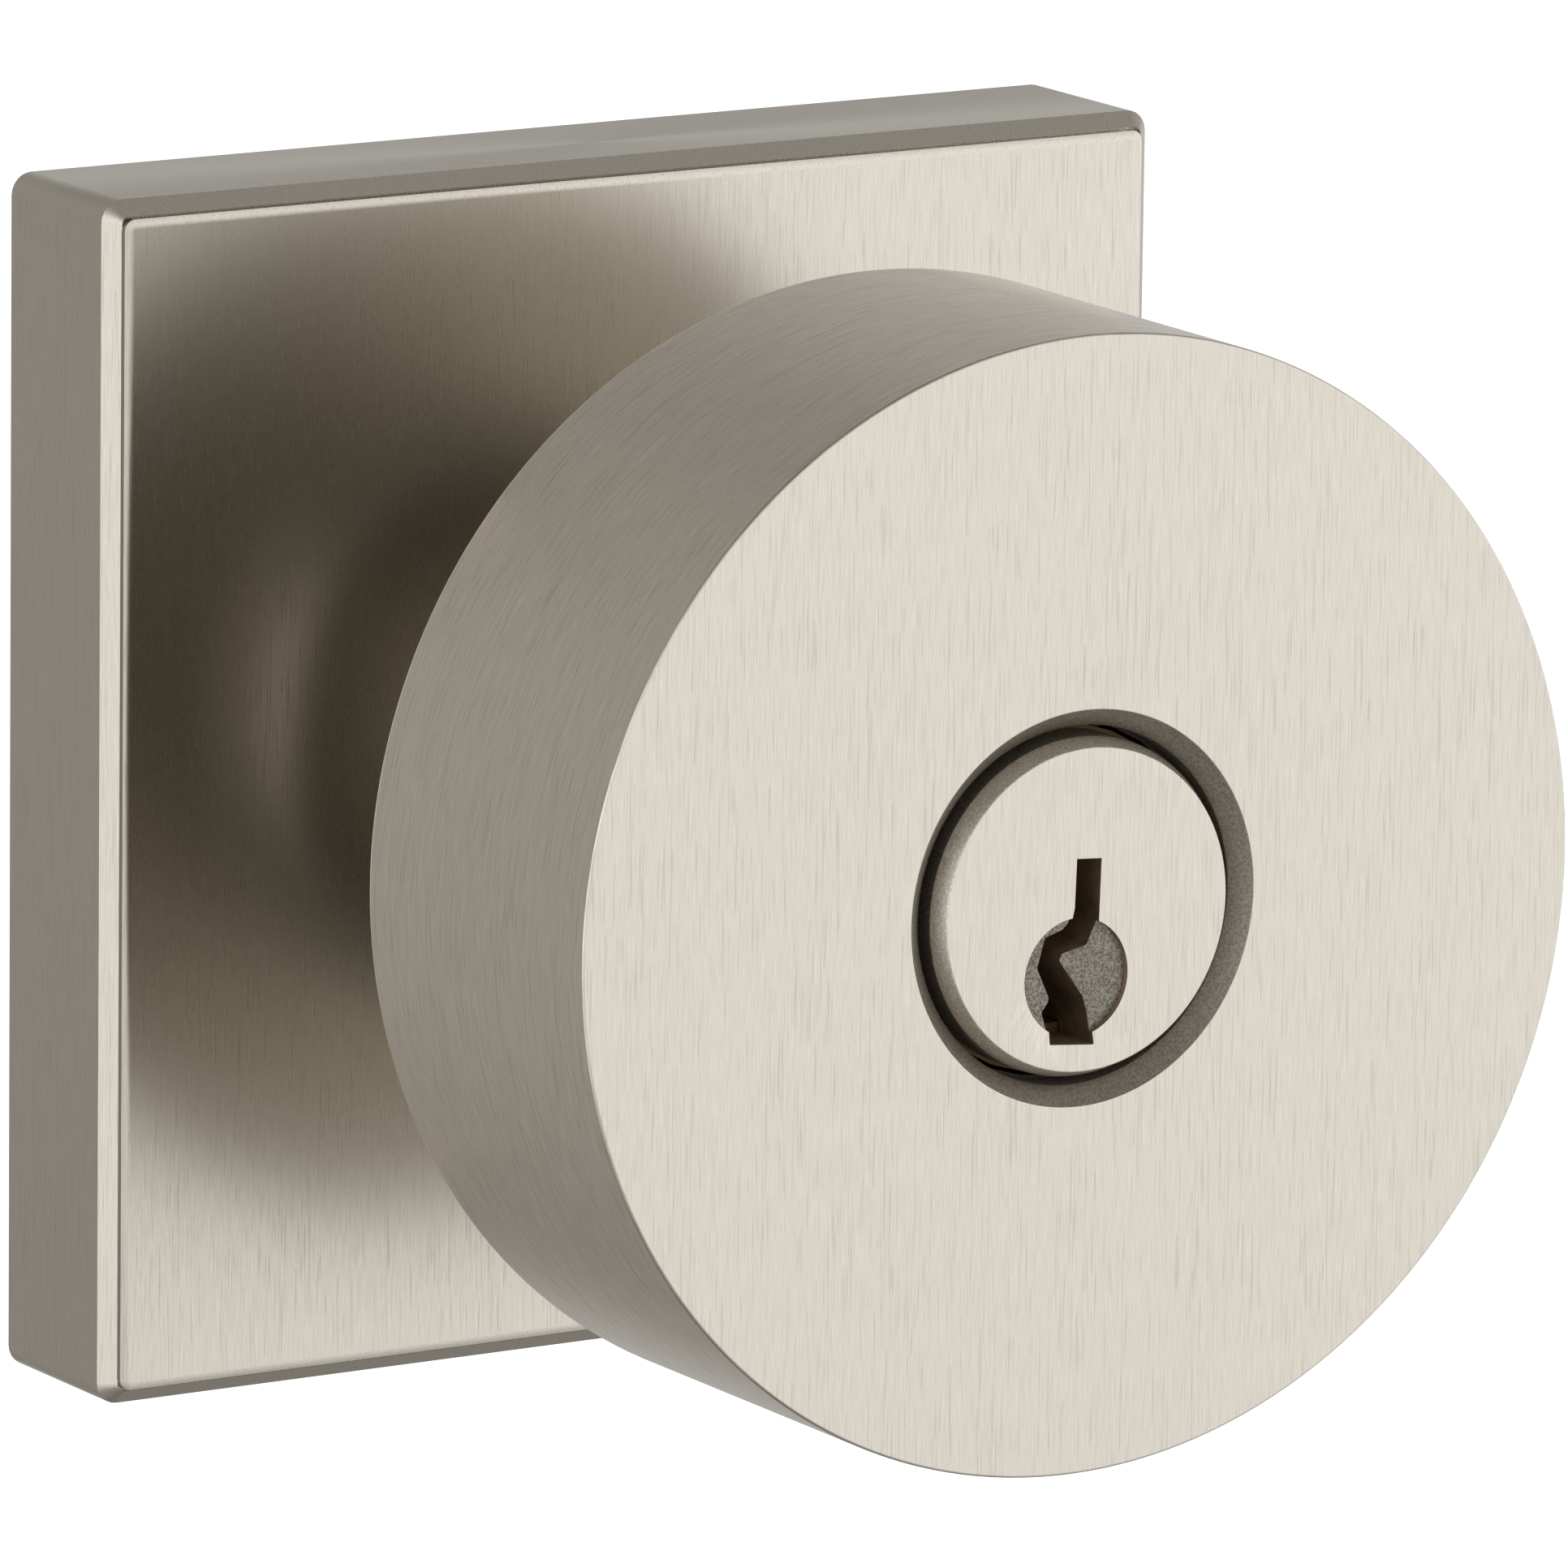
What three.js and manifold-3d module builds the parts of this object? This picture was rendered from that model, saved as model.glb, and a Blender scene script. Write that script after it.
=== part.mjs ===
// Outside half of a keyed entry knob lock on a square rose, in millimetres.
// The origin is the centre of the rose's back, which lies on the door's face. +Z is up, -Y is
// out of the door towards the person with the key, +Y goes into the door, and +X is to the
// right for that person. Everything turns about the Y axis.
import * as THREE from 'three';
import { mergeVertices } from 'three/addons/utils/BufferGeometryUtils.js';
import Module from 'manifold-3d';

const wasm = await Module();
wasm.setup();

// ---- driving dimensions ----------------------------------------------------------------

// Clearances.
const GAP = 0.2; // between two pieces that are fastened to each other
const TURN_GAP = 0.15; // radial, where one piece turns or slides in another
const FREE_GAP = 0.5; // round a piece that must not touch

// Square rose and what is fixed behind it.
const ROSE_SIDE = 65.0;
const ROSE_DEPTH = 11.1;
const ROSE_CORNER = 1.3;
const ROSE_BEVEL = 1.2;
const ROSE_SIDE_WALL = 2.4;
const ROSE_FRONT_WALL = 2.4;
const BOSS_RADIUS = 3.2;
const BOSS_INSET = 4.6; // a boss's centre, in from the rose's inner sides
const PLATE_THICKNESS = 1.8;
const PLATE_RECESS = 1.5; // the plate's back, in from the door's face
const POST_MARGIN = 1.0; // from the cassette to a post's head
const POST_RADIUS = 4.0;
const POST_LENGTH = 15.0; // past the door's face
const POST_STUB_RADIUS = 2.2;
const POST_HEAD_RADIUS = 3.3;
const POST_HEAD_HEIGHT = 1.1;
const POST_CHAMFER = 0.6;
const POST_THREAD_RADIUS = 2.0;
const POST_THREAD_DEPTH = 11.0;

// Screws: shank radius, head radius, head height.
const SMALL_SCREW = { shank: 1.1, head: 2.2, height: 1.1 };
const CORE_SCREW = { shank: 1.2, head: 2.4, height: 1.3 };

// Knob.
const KNOB_RADIUS = 30.0;
const KNOB_THICKNESS = 21.75;
const KNOB_STANDOFF = 22.65; // from the rose's face to the knob's rear edge
const KNOB_WALL = 2.4;
const KNOB_FACE = 2.6;
const KNOB_EDGE = 0.3;
const KNOB_REAR_EDGE = 0.5;
const FACE_HOLE_GAP = 0.52; // the groove round the plug's head
const FACE_SINK = 0.98; // 45 degree countersink round the hole
const BACK_THICKNESS = 2.5;
const BACK_RECESS = 0.5;
const NECK_RADIUS = 13.0;
const NECK_COVE = 8.0;
const NECK_WALL = 1.6;
const CORE_GAP = 0.3; // behind the knob's face
const CORE_INSET = 3.1; // from the shell's inside to the core's rim
const CORE_SCREW_INSET = 3.7; // in from the core's rim
const CORE_SCREW_BITE = 2.0; // how deep its thread goes into the knob's back

// Neck bushing.
const BUSHING_WALL = 1.6;
const BUSHING_FLANGE = 0.5;
const BUSHING_LIP = 1.3;

// Cylinder, plug and pin stacks.
const PLUG_RADIUS = 6.5;
const HEAD_LIP = 2.43; // the head's radius past the barrel's
const HEAD_TAPER = 0.42; // how much smaller the head's face is
const HEAD_CONE = 1.0;
const HEAD_PROUD = 0.34; // the plug's face, out from the knob's face
const TAIL_STEP = 1.3;
const TAIL_LENGTH = 1.8;
const BODY_WALL = 2.5;
const BIBLE_WIDTH = 6.2;
const BIBLE_SETBACK = 0.6; // from both ends of the body
const COVER_THICKNESS = 0.8;
const PIN_COUNT = 5;
const PIN_PITCH = 3.9;
const PIN_END = 2.65; // from the first and last pins to the cylinder's ends
const PIN_RADIUS = 1.3;
const PIN_TIP = 0.55; // the cone at a key pin's bottom
const PIN_CHAMFER = 0.2;
const PIN_FLOOR = -0.6; // the bottom of the plug's pin holes
const KEY_PIN_LENGTHS = [5.0, 6.2, 4.4, 5.6, 4.8];
const DRIVER_LENGTH = 3.2;
const PIN_SPRING = { wire: 0.25, mean: 0.95, turns: 4, height: 4.35 };
const DISH = { x: -0.6, z: -3.5, radius: 3.15, depth: 0.3 };
const KEYWAY_END = 4.4; // solid metal left behind the keyway
const CAP_LIP = 1.1; // what the cap overlaps of the cylinder's rear face
const CAP_END = 0.5;
const BLADE_WIDTH = 5.0;
const BLADE_THICKNESS = 1.5;
const BLADE_HEAD = 7.0;
const BLADE_HEAD_LENGTH = 2.2;
const BLADE_REACH = 50.0; // past the door's face

// Spindle, its catch and the return spring.
const SPINDLE_RADIUS = 8.0;
const SPINDLE_WALL = 1.2;
const SPINDLE_REACH = 22.0;
const CHANNEL = { width: 10.0, start: 1.3 }; // the open slot along its top, past the door's face
const CLIP = { depth: 0.5, thickness: 0.8, rim: 2.1, opening: Math.PI / 3 };
const CATCH_RADIUS = 1.6;
const CATCH_PROUD = 2.2; // out of the spindle's wall
const CATCH_FLANGE = { radius: 2.4, height: 0.8 };
const CATCH_STANDOFF = 7.0; // its centre, out from the rose's face
const LEAF = { thickness: 0.35, width: 3.6, opening: Math.PI / 3 };
const CASSETTE_WALL = 1.1;
const CASSETTE_FRONT = 0.8;
const EAR_MARGIN = 0.3; // from the cassette to an ear's centre, past the ear's radius
const EAR_RADIUS = 2.6;
const EAR_THICKNESS = 1.2;
const HUB_WALL = 2.0;
const LUG = { width: 4.5, reach: 3.0, depth: 0.9 };
const LUG_GAP = 0.26; // from the lug's corners to the cassette
const KEY_WIDTH = 2.6;
const KNOB_TRAVEL = THREE.MathUtils.degToRad(60);
const STOP_WIDTH = 2.4;
const STOP_MARGIN = THREE.MathUtils.degToRad(1.5);
const RETURN_SPRING = { wire: 0.3, pitch: 0.64, hook: 1.0 };

// How finely round pieces are faceted.
const FINE = 48;
const MEDIUM = 32;
const COARSE = 12;
const WIRE_SIDES = 2; // per half of a wire's section
const COIL_STEPS = 20; // per turn of the return spring

// ---- levels along the Y axis, worked out from the sizes above ---------------------------

const ROSE_FACE = -ROSE_DEPTH;
const ROSE_INNER = ROSE_FACE + ROSE_FRONT_WALL;
const ROSE_INNER_HALF = ROSE_SIDE / 2 - ROSE_SIDE_WALL;
const BOSS_AT = ROSE_INNER_HALF - BOSS_INSET;
const PLATE_BACK = -PLATE_RECESS;
const PLATE_FRONT = PLATE_BACK - PLATE_THICKNESS;
const PLATE_SIDE = 2 * (ROSE_INNER_HALF - 2 * GAP);
const CASSETTE_BACK = PLATE_FRONT - GAP;
const FLANGE_BACK = ROSE_INNER + GAP / 2 + BUSHING_FLANGE;
const CASSETTE_TOP = FLANGE_BACK + GAP;
const CASSETTE_INSIDE = CASSETTE_TOP + CASSETTE_FRONT;

const HEAD_RADIUS = PLUG_RADIUS + HEAD_LIP;
const HEAD_FACE_RADIUS = HEAD_RADIUS - HEAD_TAPER;
const FACE_HOLE_RADIUS = HEAD_RADIUS + FACE_HOLE_GAP;
const KNOB_REAR = ROSE_FACE - KNOB_STANDOFF;
const KNOB_FRONT = KNOB_REAR - KNOB_THICKNESS;
const FACE_INNER = KNOB_FRONT + KNOB_FACE;
const BACK_REAR = KNOB_REAR - BACK_RECESS;
const BACK_FRONT = BACK_REAR - BACK_THICKNESS;
const CORE_RADIUS = KNOB_RADIUS - KNOB_WALL - CORE_INSET;
const CORE_FRONT = FACE_INNER + CORE_GAP;
const CORE_REAR = BACK_FRONT - GAP;
const NECK_END = FLANGE_BACK - BUSHING_FLANGE;

const BODY_FRONT = CORE_FRONT + GAP;
const BODY_REAR = BODY_FRONT + PIN_PITCH * (PIN_COUNT - 1) + 2 * PIN_END;
const BODY_RADIUS = PLUG_RADIUS + TURN_GAP + BODY_WALL;
const HEAD_FRONT = KNOB_FRONT - HEAD_PROUD;
const HEAD_REAR = BODY_FRONT - GAP;
const BIBLE_FRONT = BODY_FRONT + BIBLE_SETBACK;
const BIBLE_REAR = BODY_REAR - BIBLE_SETBACK;
const PIN_FIRST = BODY_FRONT + PIN_END;
const PIN_HOLE_RADIUS = PIN_RADIUS + TURN_GAP;
const SHEAR_LINE = PLUG_RADIUS + TURN_GAP;
const DRIVER_BOTTOM = SHEAR_LINE + GAP / 2;
const BIBLE_TOP = DRIVER_BOTTOM + DRIVER_LENGTH + GAP / 2 + PIN_SPRING.height;
const COVER_TOP = BIBLE_TOP + GAP / 2 + COVER_THICKNESS;
const TAIL_RADIUS = PLUG_RADIUS - TAIL_STEP;
const TAIL_FRONT = BODY_REAR;
const CAP_FRONT = TAIL_FRONT + GAP;
const TAIL_END = TAIL_FRONT + TAIL_LENGTH;
const CAP_RADIUS = SHEAR_LINE + CAP_LIP;
const CAP_REAR = TAIL_END + GAP + CAP_END;
const BLADE_HEAD_REAR = TAIL_END - GAP;
const BLADE_HEAD_FRONT = BLADE_HEAD_REAR - BLADE_HEAD_LENGTH;

const POCKET_END = BODY_REAR + GAP;
const NECK_BORE = SPINDLE_RADIUS + TURN_GAP;
const NECK_ROOT = Math.hypot(BIBLE_WIDTH / 2 + GAP, COVER_TOP + GAP) + NECK_WALL;
const ROOT_END = POCKET_END + NECK_WALL;
const SPINDLE_FRONT = CAP_REAR + GAP;
const SPINDLE_BORE = SPINDLE_RADIUS - SPINDLE_WALL;
const BUSHING_BORE = NECK_RADIUS + TURN_GAP;
const BUSHING_RADIUS = BUSHING_BORE + BUSHING_WALL;
const PLATE_BORE = SPINDLE_RADIUS + 2 * GAP;
const CATCH_AT = ROSE_FACE - CATCH_STANDOFF;
const CLIP_FRONT = PLATE_BACK + GAP;
const HUB_BORE = SPINDLE_RADIUS + TURN_GAP;
const HUB_RADIUS = HUB_BORE + HUB_WALL;
const LUG_FRONT = CASSETTE_BACK - GAP - LUG.depth;
const LUG_REACH = HUB_RADIUS + LUG.reach;
const CASSETTE_BORE = Math.hypot(LUG_REACH, LUG.width / 2) + LUG_GAP;
const CASSETTE_RADIUS = CASSETTE_BORE + CASSETTE_WALL;
const EAR_AT = CASSETTE_RADIUS + EAR_MARGIN + EAR_RADIUS;
const POST_AT = CASSETTE_RADIUS + POST_MARGIN + POST_HEAD_RADIUS;
const CORE_SCREW_CIRCLE = CORE_RADIUS - CORE_SCREW_INSET;

// ---- helpers: a three.js geometry as a solid, and a solid as a named mesh ---------------

const lock = new THREE.Group();
lock.name = 'entry_knob_lock';

// A closed geometry as a solid that can be joined and cut.
function solid(geometry) {
  const bare = geometry.clone();
  bare.deleteAttribute('normal');
  bare.deleteAttribute('uv');
  const merged = mergeVertices(bare);
  const index = merged.index.array;
  const kept = [];
  for (let i = 0; i < index.length; i += 3) {
    const [a, b, c] = [index[i], index[i + 1], index[i + 2]];
    if (a !== b && b !== c && c !== a) kept.push(a, b, c);
  }
  return new wasm.Manifold(new wasm.Mesh({
    numProp: 3,
    vertProperties: merged.attributes.position.array,
    triVerts: new Uint32Array(kept),
  }));
}

// A solid of revolution about Y. The profile lists [radius, y] points round its outline.
function turned(profile, facets = MEDIUM) {
  const area = profile.reduce((sum, [r, y], i) => {
    const [nextR, nextY] = profile[(i + 1) % profile.length];
    return sum + r * nextY - nextR * y;
  }, 0);
  const outline = area > 0 ? profile : [...profile].reverse();
  const onAxis = outline.findIndex(([r], i) => r === 0 && outline.at(i - 1)[0] === 0);
  const ordered = onAxis < 0
    ? [...outline, outline[0]]
    : [...outline.slice(onAxis), ...outline.slice(0, onAxis)];
  const points = ordered.map(([r, y]) => new THREE.Vector2(r, y));
  return solid(new THREE.LatheGeometry(points, facets));
}

// A plain round bar along Y.
function rod(radius, front, rear, facets = MEDIUM) {
  return turned([[0, front], [radius, front], [radius, rear], [0, rear]], facets);
}

// A round bar along Z.
function uprightRod(radius, bottom, top, facets = COARSE) {
  return rod(radius, bottom, top, facets).rotate([90, 0, 0]);
}

// A tube along Y.
function tube(outer, inner, front, rear, facets = MEDIUM) {
  return turned([[inner, front], [outer, front], [outer, rear], [inner, rear]], facets);
}

// A block between two corners.
function block([x0, y0, z0], [x1, y1, z1]) {
  const box = new THREE.BoxGeometry(x1 - x0, y1 - y0, z1 - z0);
  return solid(box).translate([(x0 + x1) / 2, (y0 + y1) / 2, (z0 + z1) / 2]);
}

// A flat shape, drawn as it looks from the front, made solid from front to rear along Y.
function prism(shape, front, rear, options = {}) {
  const settings = { depth: rear - front, bevelEnabled: false, curveSegments: 4, ...options };
  return solid(new THREE.ExtrudeGeometry(shape, settings)).rotate([90, 0, 0]).translate([0, rear, 0]);
}

// A square with round corners, centred on the axis.
function roundedSquare(side, corner) {
  const half = side / 2;
  const straight = half - corner;
  const shape = new THREE.Shape();
  shape.absarc(straight, straight, corner, 0, Math.PI / 2);
  shape.absarc(-straight, straight, corner, Math.PI / 2, Math.PI);
  shape.absarc(-straight, -straight, corner, Math.PI, 1.5 * Math.PI);
  shape.absarc(straight, -straight, corner, 1.5 * Math.PI, 2 * Math.PI);
  return shape;
}

// A ring sector for open rings, its opening centred on the given angle.
function openRing(outer, inner, opening, centre) {
  const from = centre + opening / 2;
  const to = centre + 2 * Math.PI - opening / 2;
  const shape = new THREE.Shape();
  shape.absarc(0, 0, outer, from, to, false);
  shape.absarc(0, 0, inner, to, from, true);
  return shape;
}

// A round wire along a curve.
function wire(curve, radius, steps, sides) {
  const section = new THREE.Shape();
  section.absarc(0, 0, radius, 0, 2 * Math.PI);
  const settings = { extrudePath: curve, steps, bevelEnabled: false, curveSegments: sides };
  return solid(new THREE.ExtrudeGeometry(section, settings));
}

// A pan-headed screw along Y, its head's top at 0 and its tip at +length.
function screw({ shank, head, height }, length) {
  const edge = height / 3;
  const slotHalf = head / 8;
  const body = turned([
    [0, 0], [head - edge, 0], [head, edge], [head, height],
    [shank, height], [shank, length - shank / 2], [shank / 2, length], [0, length],
  ], COARSE);
  return body.subtract(block([-head - GAP, -GAP, -slotHalf], [head + GAP, height / 2, slotHalf]));
}

function material({ color, roughness, metalness }) {
  return new THREE.MeshStandardMaterial({ color, roughness, metalness });
}

const SATIN_NICKEL = { color: 0xb9b2a6, roughness: 0.32, metalness: 1.0 };
const PLUG_NICKEL = { color: 0xa49a8a, roughness: 0.4, metalness: 1.0 };
const ZINC_CASTING = { color: 0x8f9092, roughness: 0.55, metalness: 0.9 };
const ZINC_PLATED = { color: 0xb8bcc0, roughness: 0.4, metalness: 1.0 };
const BRASS = { color: 0xb58e4a, roughness: 0.35, metalness: 1.0 };
const SPRING_STEEL = { color: 0x777c82, roughness: 0.35, metalness: 1.0 };
const NYLON = { color: 0xd9d4c6, roughness: 0.6, metalness: 0.0 };

// Adds a solid to the lock as a named mesh.
function add(name, body, finish, place = [0, 0, 0]) {
  const { vertProperties, triVerts } = body.getMesh();
  const geometry = new THREE.BufferGeometry();
  geometry.setAttribute('position', new THREE.BufferAttribute(vertProperties, 3));
  geometry.setIndex(new THREE.BufferAttribute(triVerts, 1));
  geometry.computeVertexNormals();
  const mesh = new THREE.Mesh(geometry, material(finish));
  mesh.name = name;
  mesh.position.set(...place);
  lock.add(mesh);
}

// The four corners and the two sides that fixings repeat round.
const corners = [[1, 1], [-1, 1], [-1, -1], [1, -1]].map(([x, z]) => [x * BOSS_AT, z * BOSS_AT]);
const postSides = [['post_left', -POST_AT], ['post_right', POST_AT]];
const pinPlaces = Array.from({ length: PIN_COUNT }, (_, i) => PIN_FIRST + i * PIN_PITCH);

// ---- fixed to the door ------------------------------------------------------------------

// The square cover: a hollow shell with bevelled front edges and four screw bosses inside.
function rose() {
  const bevel = {
    bevelEnabled: true, bevelThickness: ROSE_BEVEL, bevelSize: ROSE_BEVEL,
    bevelOffset: -ROSE_BEVEL, bevelSegments: 2,
  };
  const wide = ROSE_SIDE;
  let shell = prism(roundedSquare(ROSE_SIDE, ROSE_CORNER), ROSE_FACE + ROSE_BEVEL, 2 * ROSE_BEVEL, bevel);
  shell = shell.subtract(block([-wide, 0, -wide], [wide, ROSE_DEPTH, wide]));
  shell = shell.subtract(prism(roundedSquare(2 * ROSE_INNER_HALF, ROSE_BEVEL), ROSE_INNER, GAP));
  for (const [x, z] of corners) {
    shell = shell.add(rod(BOSS_RADIUS, ROSE_INNER - GAP, PLATE_FRONT - GAP, COARSE).translate([x, 0, z]));
  }
  for (const [x, z] of corners) {
    shell = shell.subtract(rod(SMALL_SCREW.shank + TURN_GAP, ROSE_INNER, 0, COARSE).translate([x, 0, z]));
  }
  return shell.subtract(rod(BUSHING_RADIUS + GAP / 2, ROSE_FACE - GAP, ROSE_INNER + GAP, FINE));
}

// The steel plate that carries the works, with a hole for each thing that passes through it.
function mountingPlate() {
  const shape = roundedSquare(PLATE_SIDE, ROSE_BEVEL);
  let plate = prism(shape, PLATE_FRONT, PLATE_BACK);
  const cut = [PLATE_FRONT - GAP, PLATE_BACK + GAP];
  const through = (radius, x, z) => rod(radius, ...cut, COARSE).translate([x, 0, z]);
  plate = plate.subtract(rod(PLATE_BORE, ...cut));
  for (const [x, z] of corners) plate = plate.subtract(through(SMALL_SCREW.shank + TURN_GAP, x, z));
  for (const [, x] of postSides) plate = plate.subtract(through(POST_STUB_RADIUS + TURN_GAP, x, 0));
  for (const side of [-1, 1]) {
    plate = plate.subtract(through(SMALL_SCREW.shank + TURN_GAP, 0, side * EAR_AT));
  }
  return plate;
}

// A threaded post for the long screws that clamp the lock through the door.
function post() {
  const headFront = PLATE_FRONT - GAP - POST_HEAD_HEIGHT;
  const barrelFront = PLATE_BACK + GAP;
  const chamfer = POST_CHAMFER;
  const bar = turned([
    [0, headFront], [POST_HEAD_RADIUS - chamfer, headFront], [POST_HEAD_RADIUS, headFront + chamfer],
    [POST_HEAD_RADIUS, PLATE_FRONT - GAP], [POST_STUB_RADIUS, PLATE_FRONT - GAP],
    [POST_STUB_RADIUS, barrelFront], [POST_RADIUS, barrelFront],
    [POST_RADIUS, POST_LENGTH - chamfer], [POST_RADIUS - chamfer, POST_LENGTH], [0, POST_LENGTH],
  ], COARSE);
  return bar.subtract(rod(POST_THREAD_RADIUS, POST_LENGTH - POST_THREAD_DEPTH, POST_LENGTH + GAP, COARSE));
}

// The cup that holds the return spring, with two ears and the two stops for the hub's lug.
function springCassette() {
  let cup = turned([
    [PLATE_BORE, CASSETTE_TOP], [CASSETTE_RADIUS, CASSETTE_TOP], [CASSETTE_RADIUS, CASSETTE_BACK],
    [CASSETTE_BORE, CASSETTE_BACK], [CASSETTE_BORE, CASSETTE_INSIDE], [PLATE_BORE, CASSETTE_INSIDE],
  ]);
  const earFront = CASSETTE_BACK - EAR_THICKNESS;
  const midWall = (CASSETTE_RADIUS + CASSETTE_BORE) / 2;
  for (const side of [-1, 1]) {
    const ear = rod(EAR_RADIUS, earFront, CASSETTE_BACK, COARSE).translate([0, 0, EAR_AT]);
    const web = block([-EAR_RADIUS, earFront, midWall], [EAR_RADIUS, CASSETTE_BACK, EAR_AT]);
    const hole = rod(SMALL_SCREW.shank + TURN_GAP, earFront - GAP, CASSETTE_BACK + GAP, COARSE);
    const whole = ear.add(web).subtract(hole.translate([0, 0, EAR_AT]));
    cup = cup.add(side > 0 ? whole : whole.rotate([0, 180, 0]));
  }
  const lugHalf = Math.asin(LUG.width / 2 / HUB_RADIUS);
  const stopHalf = Math.asin(STOP_WIDTH / 2 / HUB_RADIUS);
  const stopAngle = THREE.MathUtils.radToDeg(KNOB_TRAVEL + lugHalf + stopHalf + STOP_MARGIN);
  for (const side of [-1, 1]) {
    const stop = block(
      [-STOP_WIDTH / 2, LUG_FRONT, HUB_RADIUS + FREE_GAP],
      [STOP_WIDTH / 2, CASSETTE_BACK, midWall],
    );
    cup = cup.add(stop.rotate([0, side * stopAngle, 0]));
  }
  return cup;
}

// The wound spring round the hub: a leg beside the lug and a hook out to the cassette's wall.
function returnSpring() {
  const { wire: thick, pitch, hook } = RETURN_SPRING;
  const mean = (HUB_RADIUS + CASSETTE_BORE) / 2;
  const legAngle = Math.asin((LUG.width / 2 + thick + FREE_GAP) / mean);
  const coilFront = CASSETTE_INSIDE + GAP + thick;
  const coilRear = LUG_FRONT - 2 * GAP - thick;
  const turns = Math.floor((coilRear - coilFront) / pitch);
  const sweep = turns * 2 * Math.PI + 2 * legAngle;
  const steps = Math.round((sweep / (2 * Math.PI)) * COIL_STEPS);
  const points = Array.from({ length: steps + 1 }, (_, i) => {
    const angle = Math.PI / 2 - legAngle + (sweep * i) / steps;
    const y = coilFront + (pitch * turns * i) / steps;
    return new THREE.Vector3(mean * Math.cos(angle), y, mean * Math.sin(angle));
  });
  const [first, last] = [points[0], points.at(-1)];
  const coil = wire(new THREE.CatmullRomCurve3(points), thick, steps, WIRE_SIDES);
  const leg = rod(thick, last.y, LUG_FRONT + LUG.depth - GAP, COARSE).translate([last.x, 0, last.z]);
  const end = uprightRod(thick, first.z, first.z + hook).translate([first.x, first.y, 0]);
  return coil.add(leg).add(end);
}

// The nylon bearing between the rose and the knob's neck.
function neckBushing() {
  const lip = BUSHING_RADIUS + BUSHING_LIP;
  const flangeFront = FLANGE_BACK - BUSHING_FLANGE;
  return turned([
    [BUSHING_BORE, ROSE_FACE], [BUSHING_RADIUS, ROSE_FACE], [BUSHING_RADIUS, flangeFront],
    [lip, flangeFront], [lip, FLANGE_BACK], [BUSHING_BORE, FLANGE_BACK],
  ], FINE);
}

add('rose', rose(), SATIN_NICKEL);
add('mounting_plate', mountingPlate(), ZINC_PLATED);
corners.forEach(([x, z], i) => {
  const length = PLATE_BACK + GAP + SMALL_SCREW.height - (ROSE_INNER + FREE_GAP);
  const backwards = screw(SMALL_SCREW, length).rotate([180, 0, 0]);
  add(`plate_screw_${i + 1}`, backwards, ZINC_PLATED, [x, PLATE_BACK + GAP + SMALL_SCREW.height, z]);
});
for (const [name, x] of postSides) add(name, post(), ZINC_PLATED, [x, 0, 0]);
add('spring_cassette', springCassette(), ZINC_CASTING);
[-1, 1].forEach((side, i) => {
  const headFront = CASSETTE_BACK - EAR_THICKNESS - GAP - SMALL_SCREW.height;
  const place = [0, headFront, side * EAR_AT];
  add(`cassette_screw_${i + 1}`, screw(SMALL_SCREW, PLATE_BACK - headFront), ZINC_PLATED, place);
});
add('return_spring', returnSpring(), SPRING_STEEL);
add('neck_bushing', neckBushing(), NYLON);

// ---- turns with the knob ----------------------------------------------------------------

// The knob's face and rim in one turned shell, with the countersunk hole for the plug's head.
function knobShell() {
  const inner = KNOB_RADIUS - KNOB_WALL;
  const roundedOff = KNOB_REAR_EDGE * (1 - Math.SQRT1_2); // at the middle of the rear edge's arc
  return turned([
    [FACE_HOLE_RADIUS + FACE_SINK, KNOB_FRONT], [KNOB_RADIUS - KNOB_EDGE, KNOB_FRONT],
    [KNOB_RADIUS, KNOB_FRONT + KNOB_EDGE], [KNOB_RADIUS, KNOB_REAR - KNOB_REAR_EDGE],
    [KNOB_RADIUS - roundedOff, KNOB_REAR - roundedOff],
    [KNOB_RADIUS - KNOB_REAR_EDGE, KNOB_REAR], [inner, KNOB_REAR],
    [inner, FACE_INNER], [FACE_HOLE_RADIUS, FACE_INNER], [FACE_HOLE_RADIUS, KNOB_FRONT + FACE_SINK],
  ], FINE);
}

// The outline of the cylinder seen from the front: a round body with the bible on top.
function cylinderOutline(front, rear, extra) {
  const half = BIBLE_WIDTH / 2 + extra;
  return rod(BODY_RADIUS + extra, front, rear)
    .add(block([-half, front, 0], [half, rear, COVER_TOP + extra]));
}

// Three screw places on a circle, clear of the bible.
function coreScrewPlaces() {
  return [1, 2, 3].map((i) => {
    const angle = Math.PI / 2 + ((i - 0.5) * 2 * Math.PI) / 3;
    return [CORE_SCREW_CIRCLE * Math.cos(angle), CORE_SCREW_CIRCLE * Math.sin(angle)];
  });
}

// The die-cast core that fills the knob and holds the cylinder from turning.
function knobCore() {
  let core = rod(CORE_RADIUS, CORE_FRONT, CORE_REAR);
  core = core.subtract(cylinderOutline(CORE_FRONT - GAP, CORE_REAR + GAP, GAP));
  const sinkFloor = CORE_FRONT + CORE_SCREW.height + GAP;
  for (const [x, z] of coreScrewPlaces()) {
    const sink = rod(CORE_SCREW.head + GAP, CORE_FRONT - GAP, sinkFloor, COARSE);
    const hole = rod(CORE_SCREW.shank + TURN_GAP, CORE_FRONT, CORE_REAR + GAP, COARSE);
    core = core.subtract(sink.add(hole).translate([x, 0, z]));
  }
  return core;
}

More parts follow.
